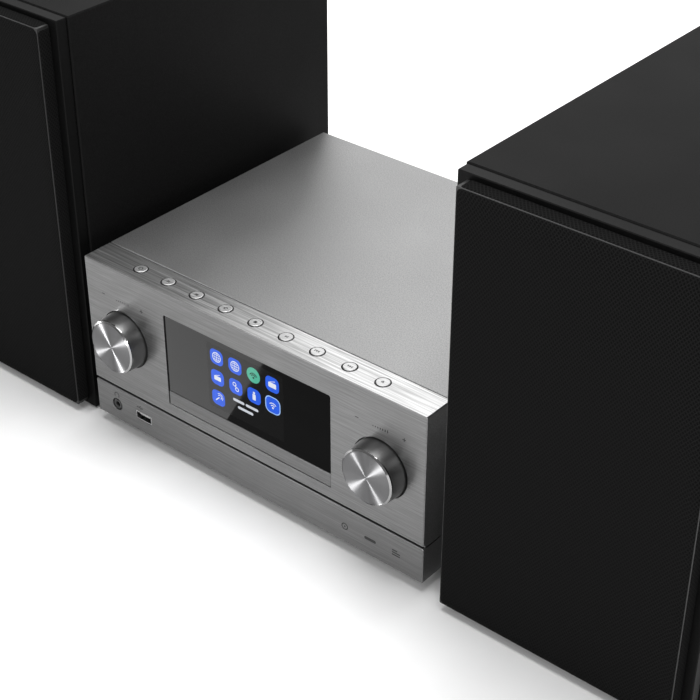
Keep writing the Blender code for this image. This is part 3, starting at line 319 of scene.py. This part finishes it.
SLOTS = {
    "brushed_aluminium": METAL["panel"],
    "satin_silver": METAL["cover"],
    "spun_aluminium": METAL["button"],
    "black_glass": BLACK["glass"],
    "black_plastic": BLACK["plastic"],
    "black_rubber": BLACK["rubber"],
    "zinc_steel": METAL["steel"],
    "circuit_board": board_material(),
    "heat_sink_black": BLACK["anodised"],
    "cabinet_black": BLACK["cabinet"],
    "baffle_black": BLACK["baffle"],
    "grille_cloth": CLOTH,
    "cone_grey": BLACK["cone"],
    "nickel": METAL["nickel"],
}
for part in frame["record"]["subparts"]:
    shown = frame["nodes"][part["node"]]
    for place in shown.material_slots:
        place.material = SLOTS[part["material_slot"]]
for name, material in (("lower_fascia", "fascia"), ("tray_door", "door")):
    frame["nodes"][name].material_slots[0].material = METAL[material]


# ---------------------------------------------------------------- mesh code
# Where a point u across, v along and h out of a surface lies, for a surface that faces up,
# to the front or to the back.
FACING = {
    "up": lambda u, v, h: (u, v, h),
    "front": lambda u, v, h: (u, -h, v),
    "back": lambda u, v, h: (u, h, v),
}


def turned(profile, centre, facing, steps, mesh=None):
    """A closed form turned round an axis.
    profile is (radius, height) pairs, or (radius, height, material)."""
    made = mesh or bmesh.new()
    turn = FACING[facing]
    centre = Vector(centre)
    rings, kinds, old = [], [], set(made.faces)
    for entry in profile:
        radius, height = entry[:2]
        kinds.append(entry[2] if len(entry) > 2 else 0)
        angles = [2 * math.pi * i / steps for i in range(1 if radius == 0 else steps)]
        rings.append([made.verts.new(centre + Vector(
            turn(radius * math.cos(angle), radius * math.sin(angle), height))) for angle in angles])
    for low, high, kind in zip(rings, rings[1:], kinds):
        for i in range(steps):
            j = (i + 1) % steps
            loop = list(dict.fromkeys((low[i % len(low)], low[j % len(low)],
                                       high[j % len(high)], high[i % len(high)])))
            if len(loop) > 2:
                made.faces.new(loop).material_index = kind
    bmesh.ops.recalc_face_normals(made, faces=[f for f in made.faces if f not in old])
    return made


def rounded(width, height, radius, steps=6, centre=(0, 0)):
    """A rectangle with round corners, as points in its plane."""
    points = []
    for corner, (sx, sy) in enumerate(((1, 1), (-1, 1), (-1, -1), (1, -1))):
        for step in range(steps + 1):
            angle = math.pi / 2 * (corner + step / steps)
            points.append((centre[0] + sx * (width / 2 - radius) + radius * math.cos(angle),
                           centre[1] + sy * (height / 2 - radius) + radius * math.sin(angle)))
    return points


def disc(radius, centre=(0, 0), steps=24):
    return [(centre[0] + radius * math.cos(2 * math.pi * i / steps),
             centre[1] + radius * math.sin(2 * math.pi * i / steps)) for i in range(steps)]


def arc(radius, start, end, width, centre=(0, 0), steps=10, squeeze=1.0):
    """A band along an arc from start to end degrees. squeeze narrows it across."""
    angles = [math.radians(start + (end - start) * i / steps) for i in range(steps + 1)]
    outer = [(centre[0] + (radius + width / 2) * math.cos(a) * squeeze,
              centre[1] + (radius + width / 2) * math.sin(a)) for a in angles]
    inner = [(centre[0] + (radius - width / 2) * math.cos(a) * squeeze,
              centre[1] + (radius - width / 2) * math.sin(a)) for a in reversed(angles)]
    return outer + inner


def bar(start, end, width):
    """A straight band between two points."""
    a, b = Vector(start), Vector(end)
    side = (b - a).normalized().orthogonal() * width / 2
    return [tuple(a + side), tuple(b + side), tuple(b - side), tuple(a - side)]


def moved(shapes, x, z, size=1.0):
    """The flat shapes, scaled by size and then shifted."""
    return [[(x + u * size, z + v * size) for u, v in shape] for shape in shapes]


def plate(mesh, outline, centre, facing, low, high, edge=0.0, material=0):
    """A flat solid with that outline in the plane that it faces, from low to high.
    edge is the width of its upper bevel."""
    turn = FACING[facing]
    middle = Vector((sum(p[0] for p in outline), sum(p[1] for p in outline))) / len(outline)
    levels = [(low, 0.0), (high, 0.0)]
    if edge:
        levels = [(low, 0.0), (high - edge, 0.0), (high, edge)]
    rings = []
    for height, inset in levels:
        ring = []
        for u, v in outline:
            away = Vector((u, v)) - middle
            pulled = middle + away * (1 - inset / max(away.length, 1e-9))
            ring.append(mesh.verts.new(Vector(centre) + Vector(turn(pulled.x, pulled.y, height))))
        rings.append(ring)
    made = [mesh.faces.new(rings[0]), mesh.faces.new(rings[-1])]
    for below, above in zip(rings, rings[1:]):
        for i in range(len(outline)):
            j = (i + 1) % len(outline)
            made.append(mesh.faces.new((below[i], below[j], above[j], above[i])))
    for face in made:
        face.material_index = material
    bmesh.ops.recalc_face_normals(mesh, faces=made)
    return made


def brick(mesh, low, high, edge, material=0):
    """A block with its twelve edges rounded."""
    low, high = Vector(low), Vector(high)
    cube = bmesh.ops.create_cube(mesh, size=1.0, matrix=Matrix.Translation((low + high) / 2)
                                 @ Matrix.Diagonal((*(high - low), 1)))
    edges = list({e for v in cube["verts"] for e in v.link_edges})
    made = bmesh.ops.bevel(mesh, geom=edges, offset=edge, segments=2, profile=0.7, affect="EDGES")
    for face in {f for v in made["verts"] for f in v.link_faces}:
        face.material_index = material


def piece(name, mesh, body, materials, stands_for=(), angle=32):
    """The mesh as an object that rides on a body."""
    data = bpy.data.meshes.new(name)
    mesh.to_mesh(data)
    mesh.free()
    for material in materials:
        data.materials.append(material)
    data.shade_smooth()
    data.set_sharp_from_angle(angle=math.radians(angle))
    made = bpy.data.objects.new(name, data)
    bpy.context.scene.collection.objects.link(made)
    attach(made, body)
    if stands_for:
        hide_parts(*stands_for)
    return made


# ---------------------------------------------------------------- knobs
def make_knob(name, body):
    """A knob with a turned face, a polished rim and a plain side, hollow at the back."""
    low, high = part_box(name)
    x, z = (low.x + high.x) / 2, (low.z + high.z) / 2
    face, back, radius = -low.y, -high.y, (high.x - low.x) / 2
    rim = radius - 1.1 * MM
    inside, floor = radius - 2.0 * MM, face - 3.0 * MM
    turned_face, polished, side = range(3)
    profile = [
        (0, face - 0.25 * MM, turned_face),
        (radius - 2.5 * MM, face - 0.2 * MM, turned_face),
        (radius - 2.35 * MM, face, polished),
        (radius - 1.25 * MM, face - 0.8 * MM, polished),
        (rim, face - 1.5 * MM, side),
        (radius - 0.1 * MM, back + 0.6 * MM, side),
        (radius - 0.3 * MM, back, side),
        (inside, back, side),
        (inside, floor, side),
        (0, floor, side),
    ]
    mesh = turned(profile, (x, 0, z), "front", 96)
    return piece(name.replace("_knob", "_dial"), mesh, body,
                 [METAL["knob_face"], METAL["polished"], METAL["knob_side"]], [name])


DIALS = [make_knob("tune_knob", "tune_knob"), make_knob("volume_knob", "volume")]


# ---------------------------------------------------------------- buttons on the lip
def icons():
    """Generic control marks, in millimetres round the middle of a button."""
    left = [(0.55, 0.75), (-0.75, 0), (0.55, -0.75)]
    right = [(-u, v) for u, v in left]
    return [
        [arc(1.15, 125, 415, 0.5, steps=18), bar((0, 0.55), (0, 1.5), 0.55)],
        [bar((-1.0, height), (1.0, height), 0.55) for height in (0.45, -0.45)],
        [bar((-1.1, height), (1.1, height), 0.4) for height in (0.6, 0, -0.6)],
        [arc(0.9, 30, 330, 0.5, steps=18), [(0.4, 0.55), (1.25, 0.65), (0.95, -0.15)]],
        [rounded(1.9, 1.9, 0.1)],
        [right, bar((1.05, -0.75), (1.05, 0.75), 0.55)],
        [*moved([left], -0.5, 0), *moved([left], 0.75, 0), bar((-1.5, -0.75), (-1.5, 0.75), 0.45)],
        [*moved([right], 0.5, 0), *moved([right], -0.75, 0), bar((1.5, -0.75), (1.5, 0.75), 0.45)],
        [[(-0.9, -0.1), (0.9, -0.1), (0, 0.9)], bar((-0.9, -0.55), (0.9, -0.55), 0.55)],
    ]


KEY_RADIUS = 4.7 * MM
FLANGE_RADIUS = KEY_RADIUS + 1.1 * MM
STEM_RADIUS = 2 * MM
ICON_SCALE = 1.15 * MM


def make_button(name, icon):
    """A metal-topped key on a black body with a flange and a stem, and its printed mark."""
    low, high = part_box(name)
    centre = ((low.x + high.x) / 2, (low.y + high.y) / 2, high.z)
    metal, edge, ink, body = range(4)
    profile = [
        (0, 0, metal),
        (KEY_RADIUS - 0.8 * MM, 0, edge),
        (KEY_RADIUS - 0.5 * MM, -0.2 * MM, body),
        (KEY_RADIUS, -0.5 * MM, body),
        (KEY_RADIUS, -3.2 * MM, body),
        (FLANGE_RADIUS, -3.35 * MM, body),
        (FLANGE_RADIUS, -4.4 * MM, body),
        (STEM_RADIUS, -4.4 * MM, body),
        (STEM_RADIUS, -6.8 * MM, body),
        (0, -6.8 * MM, body),
    ]
    mesh = turned(profile, centre, "up", 48)
    for shape in icon:
        outline = [(u * ICON_SCALE, v * ICON_SCALE) for u, v in shape]
        plate(mesh, outline, centre, "up", -0.1 * MM, 0.012 * MM, material=ink)
    return piece(name.replace("_button", "_key"), mesh, name,
                 [METAL["lip"], METAL["lip"], BLACK["ink"], BLACK["plastic"]], [name])


BUTTONS = ("power", "source", "menu", "repeat", "stop", "play", "previous", "next", "eject")
for mark, icon in zip(BUTTONS, icons()):
    make_button(mark + "_button", icon)


# ---------------------------------------------------------------- glass and screen
ORIGIN = (0, 0, 0)


def make_glass():
    low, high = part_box("display_glass")
    mesh = bmesh.new()
    middle = ((low.x + high.x) / 2, (low.z + high.z) / 2)
    outline = rounded(high.x - low.x, high.z - low.z, 0.9 * MM, 4, middle)
    plate(mesh, outline, ORIGIN, "front", -high.y, -low.y, 0.25 * MM)
    return piece("front_glass", mesh, "receiver", [BLACK["glass"]],
                 ["display_glass"])


LIFT = 0.002                    # clear of the face under a printed or lit shape, in millimetres
AREA_RISE, CHOICE_RISE, TILE_RISE, PICTURE_RISE = 0.010, 0.016, 0.022, 0.034


def on_screen(name, shapes, rise, material):
    """Flat shapes in millimetres on the glass, at their x and z in the model."""
    front = -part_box("display_glass")[0].y
    mesh = bmesh.new()
    for shape in shapes:
        outline = [(u * MM, v * MM) for u, v in shape]
        plate(mesh, outline, ORIGIN, "front", front + LIFT * MM, front + rise * MM)
    SCREEN.append(piece(name, mesh, "receiver", [material], angle=60))


def screen_glyphs():
    """Generic white pictures for the screen's icons."""
    globe = [
        arc(3.4, 0, 360, 0.5, steps=30),
        arc(3.4, 90, 270, 0.45, steps=14, squeeze=0.5),
        arc(3.4, -90, 90, 0.45, steps=14, squeeze=0.5),
        bar((-3.3, 0), (3.3, 0), 0.42),
        bar((-2.9, 1.7), (2.9, 1.7), 0.38),
        bar((-2.9, -1.7), (2.9, -1.7), 0.38),
        bar((0, -3.4), (0, 3.4), 0.42),
    ]
    radio = [rounded(6.4, 3.6, 0.7, 4, (0, -0.6)), bar((-2.0, 1.3), (2.4, 3.0), 0.42)]
    stick = [rounded(2.6, 4.4, 0.5, 4, (0, -0.9)), rounded(1.7, 1.6, 0.2, 3, (0, 2.3))]
    link = [
        arc(1.3, 0, 360, 0.6, (-1.0, 1.6), 20),
        arc(1.3, 0, 360, 0.6, (1.0, -1.6), 20),
        bar((-0.6, 1.0), (0.6, -1.0), 0.7),
    ]
    tool = [
        bar((-2.6, -2.6), (0.8, 0.8), 0.9),
        arc(1.6, -60, 150, 0.55, (1.3, 1.3), 14),
        arc(2.9, -40, 130, 0.45, (1.3, 1.3), 14),
    ]
    wavy = [
        disc(0.75, (0, -2.0)),
        arc(1.9, 40, 140, 0.65, (0, -2.0), 12),
        arc(3.5, 42, 138, 0.65, (0, -2.0), 12),
    ]
    return globe, radio, stick, link, tool, wavy


SCREEN = [make_glass()]
COLUMNS = (-24.2, -8.6, 6.8, 22.3)      # the tiles' middles across, in millimetres
ROWS = (98.4, 83.1, 67.7)               # and up
TILE = 11.0
TILE_CORNER = 3.6
globe, radio, stick, link, tool, wavy = screen_glyphs()
tile = rounded(TILE, TILE, TILE_CORNER, 8)
places = [(x, z) for z in ROWS[:2] for x in COLUMNS] + [(COLUMNS[0], ROWS[2])]
teal_place = (COLUMNS[2], ROWS[0])
blue_places = [place for place in places if place != teal_place]
on_screen("screen_area", [rounded(63.2, 47.5, 0.4, 3, (-0.7, 83.2))], AREA_RISE,
          speckled("screen_black", 0.004, 0.05, 0.0, 3000, 0.25, 0.0001 * MM,
                   Specular_IOR_Level=0.02))
on_screen("screen_tiles", [shape for x, z in blue_places for shape in moved([tile], x, z)],
          TILE_RISE, glowing("screen_blue", (0.025, 0.12, 0.80), 0.95))
on_screen("screen_disc", moved([disc(TILE / 2, steps=36)], *teal_place), TILE_RISE,
          glowing("screen_teal", (0.10, 0.52, 0.36), 0.85))
pictures = [
    *moved(globe, COLUMNS[0], ROWS[0]),
    *moved(globe, COLUMNS[1], ROWS[0]),
    *moved(radio, COLUMNS[3], ROWS[0]),
    *moved(radio, COLUMNS[0], ROWS[1], 0.9),
    *moved(link, COLUMNS[1], ROWS[1]),
    *moved(stick, COLUMNS[2], ROWS[1]),
    *moved(wavy, COLUMNS[3], ROWS[1]),
    *moved(tool, COLUMNS[0], ROWS[2], 0.9),
]
on_screen("screen_pictures", pictures, PICTURE_RISE,
          glowing("screen_white", (0.82, 0.86, 0.95), 0.9))
ripples = [arc(2.2, 20, 160, 0.8, (0, -1.8)), arc(4.0, 25, 155, 0.8, (0, -2.2)),
           disc(0.9, (0, -2.2))]
on_screen("screen_notes", moved(ripples, *teal_place, 0.8), PICTURE_RISE,
          glowing("screen_dark", (0.01, 0.05, 0.035), 0.4))
choice = rounded(TILE + 1.4, TILE + 1.4, TILE_CORNER + 0.6, 8, (COLUMNS[3], ROWS[1]))
on_screen("screen_choice", [choice], CHOICE_RISE,
          glowing("screen_light_blue", (0.35, 0.55, 0.95), 1.0))
caption = [rounded(width, 2.0, 0.9, 4, (x, z)) for x, z, width in
           ((-6.6, 73.0, 9.6), (4.6, 73.0, 10.6), (-1.0, 68.4, 13.0))]
on_screen("screen_caption", caption, TILE_RISE,
          glowing("screen_caption_white", (0.75, 0.78, 0.85), 0.8))


# ---------------------------------------------------------------- marks and sockets on the front
FRONT = 120.3                   # the front plates' faces, in millimetres ahead of the middle
PRINT_RISE = 0.02
KNOB_X = 106.8
KNOB_Z = 77.4
BORE = 1.8 * MM                 # radius of the headphone socket's hole


def on_front(name, shapes):
    """Flat printed shapes in millimetres on the front plates."""
    mesh = bmesh.new()
    for shape in shapes:
        outline = [(u * MM, v * MM) for u, v in shape]
        plate(mesh, outline, ORIGIN, "front", (FRONT + LIFT) * MM, (FRONT + PRINT_RISE) * MM)
    return piece(name, mesh, "receiver", [BLACK["ink"]], angle=60)


def knob_marks(x):
    """A minus and a plus over a knob, with a row of rising ticks between them."""
    minus = bar((-1.3, 0), (1.3, 0), 0.6)
    upright = bar((0, -1.3), (0, 1.3), 0.6)
    shapes = moved([minus], x - 17.5, KNOB_Z + 28.5)
    shapes += moved([minus, upright], x + 17.5, KNOB_Z + 28.5)
    foot = KNOB_Z + 27.6
    for step in range(7):
        across = x - 5.4 + 1.8 * step
        shapes.append(bar((across, foot), (across, foot + 0.7 + 0.22 * step), 0.75))
    return shapes


on_front("knob_scale_marks", knob_marks(-KNOB_X) + knob_marks(KNOB_X))
phones = [
    arc(2.2, 0, 180, 0.7, steps=14),
    rounded(0.9, 1.7, 0.3, 3, (-2.1, -0.8)),
    rounded(0.9, 1.7, 0.3, 3, (2.1, -0.8)),
]
prongs = [
    bar((-3, 0), (3, 0), 0.6),
    disc(0.7, (-3.2, 0), 12),
    bar((-1.2, 0), (0.6, 1.4), 0.5),
    disc(0.5, (0.9, 1.5), 12),
    bar((-0.2, 0), (1.2, -1.3), 0.5),
    rounded(0.9, 0.9, 0.1, 2, (1.5, -1.4)),
    [(2.6, 0.8), (4.2, 0), (2.6, -0.8)],
]
plain_marks = [
    arc(2.2, 0, 360, 0.8, (80.0, 19.5), 24),
    disc(0.7, (80.0, 19.5), 14),
    rounded(9.0, 2.2, 1.0, 5, (100.0, 19.5)),
    bar((117.0, 18.0), (123.0, 18.0), 0.9),
    bar((117.0, 19.7), (123.0, 19.7), 0.9),
    bar((117.0, 21.4), (121.0, 21.4), 0.9),
]
on_front("socket_marks", [*moved(phones, -120.6, 27.3, 0.9), *moved(prongs, -98.5, 26.8, 0.75),
                          *plain_marks])


def make_jack():
    """The headphone socket: a ring round a blind hole, and its body behind."""
    low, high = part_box("headphone_jack")
    x, z, front = (low.x + high.x) / 2, (low.z + high.z) / 2, -low.y
    radius = (high.x - low.x) / 2
    gloss, hole = range(2)
    profile = [
        (BORE, front - 12 * MM, hole),
        (BORE, front - 0.5 * MM, hole),
        (2.1 * MM, front - 0.15 * MM, gloss),
        (2.9 * MM, front, gloss),
        (3.5 * MM, front, gloss),
        (radius, front - 0.5 * MM, gloss),
        (radius, front - 17.8 * MM, gloss),
        (0, front - 17.8 * MM, gloss),
        (0, front - 13 * MM, gloss),
        (BORE, front - 13 * MM, hole),
        (BORE, front - 12 * MM, hole),
    ]
    mesh = turned(profile, (x, 0, z), "front", 48)
    bmesh.ops.remove_doubles(mesh, verts=mesh.verts, dist=1e-6)
    return piece("phones_socket", mesh, "receiver",
                 [BLACK["gloss"], BLACK["plastic"]], ["headphone_jack"])


make_jack()


# ---------------------------------------------------------------- speakers
GRILLE_BACK = -115.6 * MM
CLOTH_CORNER = 4.5              # the cloth's corner radius, in millimetres
LEAST_CORNER = 0.6 * MM
TURNED_BACK = 10 * MM           # cloth beyond the grille's front, on each side


def make_cloth(side):
    """The cloth pulled over the grille's frame, one sheet from back edge to back edge.
    Each level has its inset, its y and its reach in the flat sheet beyond the front."""
    low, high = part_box(side + "_grille")
    front = low.y
    half_w, half_h = (high.x - low.x) / 2, (high.z - low.z) / 2
    middle = ((low.x + high.x) / 2, (low.z + high.z) / 2)
    mesh = bmesh.new()
    uv = mesh.loops.layers.uv.new("cloth")
    levels = [
        (0.0, GRILLE_BACK, 10.5),
        (0.0, front + 2.6 * MM, 3.0),
        (0.3 * MM, front + 1.5 * MM, 1.9),
        (1.1 * MM, front + 0.5 * MM, 0.8),
        (2.4 * MM, front + 0.06 * MM, -0.9),
        (9.0 * MM, front + 0.02 * MM, -7.5),
    ]
    where, rings = {}, []
    for inset, y, reach in levels:
        ring = []
        shaped = rounded(2 * (half_w - inset), 2 * (half_h - inset),
                         max(CLOTH_CORNER * MM - inset, LEAST_CORNER), 8)
        flat = rounded(2 * (half_w + reach * MM), 2 * (half_h + reach * MM),
                       max((CLOTH_CORNER + reach) * MM, LEAST_CORNER), 8)
        for (u, v), flat_point in zip(shaped, flat):
            vertex = mesh.verts.new((middle[0] + u, y, middle[1] + v))
            where[vertex] = flat_point
            ring.append(vertex)
        rings.append(ring)
    mesh.faces.new(rings[-1])
    for below, above in zip(rings, rings[1:]):
        for i in range(len(below)):
            j = (i + 1) % len(below)
            mesh.faces.new((below[i], below[j], above[j], above[i]))
    bmesh.ops.recalc_face_normals(mesh, faces=mesh.faces)
    if mesh.faces[0].normal.y > 0:
        bmesh.ops.reverse_faces(mesh, faces=mesh.faces)
    for face in mesh.faces:
        for loop in face.loops:
            loop[uv].uv = where[loop.vert]
    made = piece(side + "_grille_cloth", mesh, side + "_grille", [CLOTH],
                 [side + "_grille"], 50)
    return made, (2 * half_w + 2 * TURNED_BACK, 2 * half_h + 2 * TURNED_BACK)


FRAME_WALL = 9.0 * MM
FRAME_EDGE = 0.8 * MM
RAIL_LOW, RAIL_HIGH = 163 * MM, 169 * MM
RAIL_DEPTH = 3.4 * MM
PEG_X = 68.7 * MM
PEG_Y = -120.2 * MM
PEG_Z = (15.9 * MM, 270.0 * MM)
PEG = [(0, 0), (2.3 * MM, 0), (2.3 * MM, 8.4 * MM), (1.6 * MM, 9.6 * MM), (0, 9.6 * MM)]


def make_grille_frame(side, x):
    """The frame under the cloth: four walls, a rail across, and four pegs at the back."""
    low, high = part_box(side + "_grille")
    mesh = bmesh.new()
    front = low.y + 0.6 * MM
    left, right = low.x + 0.5 * MM, high.x - 0.5 * MM
    bottom, top = low.z + 0.5 * MM, high.z - 0.5 * MM
    from_x, to_x = left + FRAME_WALL - FRAME_EDGE, right - FRAME_WALL + FRAME_EDGE
    for x0, z0, x1, z1, back in (
            (left, bottom, left + FRAME_WALL, top, GRILLE_BACK),
            (right - FRAME_WALL, bottom, right, top, GRILLE_BACK),
            (from_x, bottom, to_x, bottom + FRAME_WALL, GRILLE_BACK),
            (from_x, top - FRAME_WALL, to_x, top, GRILLE_BACK),
            (from_x, RAIL_LOW, to_x, RAIL_HIGH, front + RAIL_DEPTH)):
        brick(mesh, (x0, front, z0), (x1, back, z1), FRAME_EDGE)
    for peg_x in (x - PEG_X, x + PEG_X):
        for peg_z in PEG_Z:
            turned(PEG, (peg_x, PEG_Y, peg_z), "back", 20, mesh)
    return piece(side + "_grille_frame", mesh, side + "_grille",
                 [BLACK["plastic"]])


SCREW = [(0, 0.8 * MM), (0.8 * MM, 0.75 * MM), (1.7 * MM, 0.4 * MM), (1.9 * MM, 0),
         (1.9 * MM, -0.3 * MM), (0, -0.3 * MM)]
CROSS = [bar((-1.0 * MM, 0), (1.0 * MM, 0), 0.35 * MM),
         bar((0, -1.0 * MM), (0, 1.0 * MM), 0.35 * MM)]


def screws(name, places, facing, body, metal):
    """Round screw heads with a cross in each. places are the middles of their seats."""
    mesh = bmesh.new()
    for place in places:
        turned(SCREW, place, facing, 20, mesh)
        for shape in CROSS:
            plate(mesh, shape, place, facing, 0.3 * MM, 0.83 * MM, material=1)
    return piece(name, mesh, body, [metal, BLACK["ink"]])


def round_places(x, y, z, radius, count):
    """Even places on a circle that faces the front, half a step off its top."""
    angles = [math.pi / 2 + math.tau * (i + 0.5) / count for i in range(count)]
    return [(x + radius * math.cos(angle), y, z + radius * math.sin(angle)) for angle in angles]


def make_driver_screws(side, x):
    """Six screws round the woofer and three round the tweeter."""
    places = (round_places(x, -117.5 * MM, 92 * MM, 56.4 * MM, 6)
              + round_places(x, -117.3 * MM, 212 * MM, 27.0 * MM, 3))
    return screws(side + "_driver_screws", places, "front", side + "_speaker",
                  BLACK["gloss"])


COLLAR_TEETH = 40
SPEAKER_X = 233.8 * MM


def make_post_collars(side, x):
    """Knurled collars on the two binding posts in the cabinet's back."""
    mesh = bmesh.new()
    cog = []
    for tooth in range(COLLAR_TEETH):
        radius, angle = (5.0 + 0.35 * (tooth % 2)) * MM, math.tau * tooth / COLLAR_TEETH
        cog.append((radius * math.cos(angle), radius * math.sin(angle)))
    for index, post in enumerate((x - 11 * MM, x + 11 * MM)):
        plate(mesh, cog, (post, 0, 110 * MM), "back", 121.5 * MM, 127.0 * MM, 0.3 * MM, index)
    return piece(side + "_post_collars", mesh, side + "_speaker",
                 [RED, BLACK["gloss"]])


for side, x in (("left", -SPEAKER_X), ("right", SPEAKER_X)):
    make_post_collars(side, x)
    make_driver_screws(side, x)
    cloth, cut = make_cloth(side)
    make_grille_frame(side, x)


# ---------------------------------------------------------------- back of the receiver, USB tongue
CLIPS_X = 94.0
CLIP_PITCH = 10.5
CAP_HALF = 3.6


def make_levers():
    """Coloured caps over the speaker clips' levers."""
    mesh = bmesh.new()
    for column in range(4):
        x = CLIPS_X + (column - 1.5) * CLIP_PITCH
        brick(mesh, ((x - CAP_HALF) * MM, 116.3 * MM, 39.8 * MM),
              ((x + CAP_HALF) * MM, 121.2 * MM, 50.2 * MM), 0.5 * MM, column % 2)
    return piece("clip_lever_caps", mesh, "receiver", [RED, BLACK["gloss"]])


def make_tongue():
    """The contact tongue in the USB socket's mouth."""
    mesh = bmesh.new()
    brick(mesh, (-100.2 * MM, -119.0 * MM, 20.3 * MM), (-90.6 * MM, -109.0 * MM, 21.7 * MM),
          0.2 * MM)
    return piece("usb_tongue", mesh, "receiver", [METAL["steel"]])


make_levers()
make_tongue()
rear_places = [(x * MM, 114.7 * MM, z * MM) for x in (-132, -60, 60, 132) for z in (14, 119)]
screws("rear_screws", rear_places, "back", "receiver", METAL["nickel"])


# ---------------------------------------------------------------- floor, light and camera
FLOOR_HALF = 6.0
FLOOR_DROP = 0.0004             # the floor lies that far under the feet, so that no faces meet


def make_floor():
    mesh = bmesh.new()
    bmesh.ops.create_grid(mesh, x_segments=8, y_segments=8, size=FLOOR_HALF)
    data = bpy.data.meshes.new("floor")
    mesh.to_mesh(data)
    mesh.free()
    pale = speckled("pale_floor", 0.92, 0.6, 0.0, 30, 0.01, 0.02 * MM, Specular_IOR_Level=0.2)
    data.materials.append(pale)
    made = bpy.data.objects.new("floor", data)
    made.location.z = -FLOOR_DROP
    bpy.context.scene.collection.objects.link(made)
    return made


def area_light(name, place, target, size, power, height=None):
    """A soft rectangular light that points at the target."""
    data = bpy.data.lights.new(name, "AREA")
    data.shape = "RECTANGLE"
    data.size = size
    data.size_y = height or size
    data.energy = power
    made = bpy.data.objects.new(name, data)
    made.location = place
    made.rotation_euler = (Vector(target) - Vector(place)).to_track_quat("-Z", "Y").to_euler()
    made.visible_camera = False
    bpy.context.scene.collection.objects.link(made)
    return made


def only_on(light, pieces, state="INCLUDE"):
    """Lets a light fall on those pieces alone, or on everything else."""
    lit = bpy.data.collections.new(light.name + "_on")
    for item in pieces:
        lit.objects.link(item)
    for entry in lit.collection_objects:
        entry.light_linking.link_state = state
    light.light_linking.receiver_collection = lit


def floor_card(name, edge_from, edge_to, width, power):
    """A soft light on the floor, with one straight edge that shows as a reflection in the glass.
    It falls on the glass and the screen only."""
    start, end = Vector(edge_from), Vector(edge_to)
    run = (end - start).normalized()
    left = Vector((-run.y, run.x)) if run.x > 0 else Vector((run.y, -run.x))
    middle = (start + end) / 2 + left * width / 2
    card = area_light(name, (middle.x, middle.y, 0.0012), (middle.x, middle.y, 1.0), width, power,
                      0.5)
    card.rotation_euler = (math.pi, 0, math.atan2(run.y, run.x) - math.pi / 2)
    only_on(card, SCREEN)


def floor_light(floor):
    """One even soft light from above that falls on the floor alone, so that it stays pale."""
    data = bpy.data.lights.new("floor_sun", "SUN")
    data.energy = 3.3
    data.angle = math.radians(45)
    made = bpy.data.objects.new("floor_sun", data)
    made.rotation_euler = (math.radians(-7), 0, 0)
    bpy.context.scene.collection.objects.link(made)
    only_on(made, [floor])


def make_studio(floor):
    """Soft lights round the object, and a few that fall on single pieces only."""
    world = bpy.data.worlds.new("studio")
    world.use_nodes = True
    world.node_tree.nodes["Background"].inputs["Color"].default_value = (1, 1, 1, 1)
    world.node_tree.nodes["Background"].inputs["Strength"].default_value = 0.26
    bpy.context.scene.world = world
    area_light("back_key", (-0.2, 1.25, 0.95), (0, 0, 0.1), 1.5, 6.0, 1.1)
    area_light("lip_strip", (-0.62, 0.55, 1.2), (0.05, -0.1, 0.1), 0.6, 2.4, 1.3)
    area_light("back_left_fill", (-1.6, 1.3, 1.2), (0, 0, 0.1), 1.5, 4.0)
    only_on(area_light("overhead", (0.1, -0.3, 2.2), (0, 0, 0), 1.6, 46), [floor], "EXCLUDE")
    floor_light(floor)
    area_light("right_fill", (1.3, -1.4, 1.0), (0.05, -0.13, 0.08), 0.5, 8)
    beside = area_light("side_fill", (0.55, 0.12, 0.06), (0.14, -0.11, 0.06), 0.3, 0.72, 0.1)
    only_on(beside, [frame["nodes"][name] for name in ("front_panel", "lower_fascia", "top_cover")])
    beside.light_linking.blocker_collection = beside.light_linking.receiver_collection
    area_light("edge_light", (-1.2, -1.35, 1.6), (0, -0.1, 0.1), 0.6, 6)
    only_on(area_light("knob_left", (-1.75, -0.45, 0.09), (0, -0.13, 0.08), 0.16, 60, 0.14), DIALS)
    only_on(area_light("knob_front", (0.24, -1.85, 0.12), (0, -0.13, 0.08), 0.3, 30, 0.2), DIALS)
    floor_card("glass_card", (-0.0713, -0.1744), (-0.0983, -0.2386), 0.4, 7)


LENS = 84.17
CAMERA_PLACE = (0.58027, -0.71238, 0.65877)
CAMERA_DOWN = 33.367            # degrees below level
CAMERA_TURN = 39.958            # degrees round from the front


def make_camera():
    data = bpy.data.cameras.new("camera")
    data.lens = LENS
    data.sensor_width = 36.0
    made = bpy.data.objects.new("camera", data)
    made.location = CAMERA_PLACE
    made.rotation_euler = (math.radians(90 - CAMERA_DOWN), 0, math.radians(CAMERA_TURN))
    bpy.context.scene.collection.objects.link(made)
    bpy.context.scene.camera = made


make_studio(make_floor())
make_camera()
bpy.context.scene.view_settings.view_transform = "Standard"
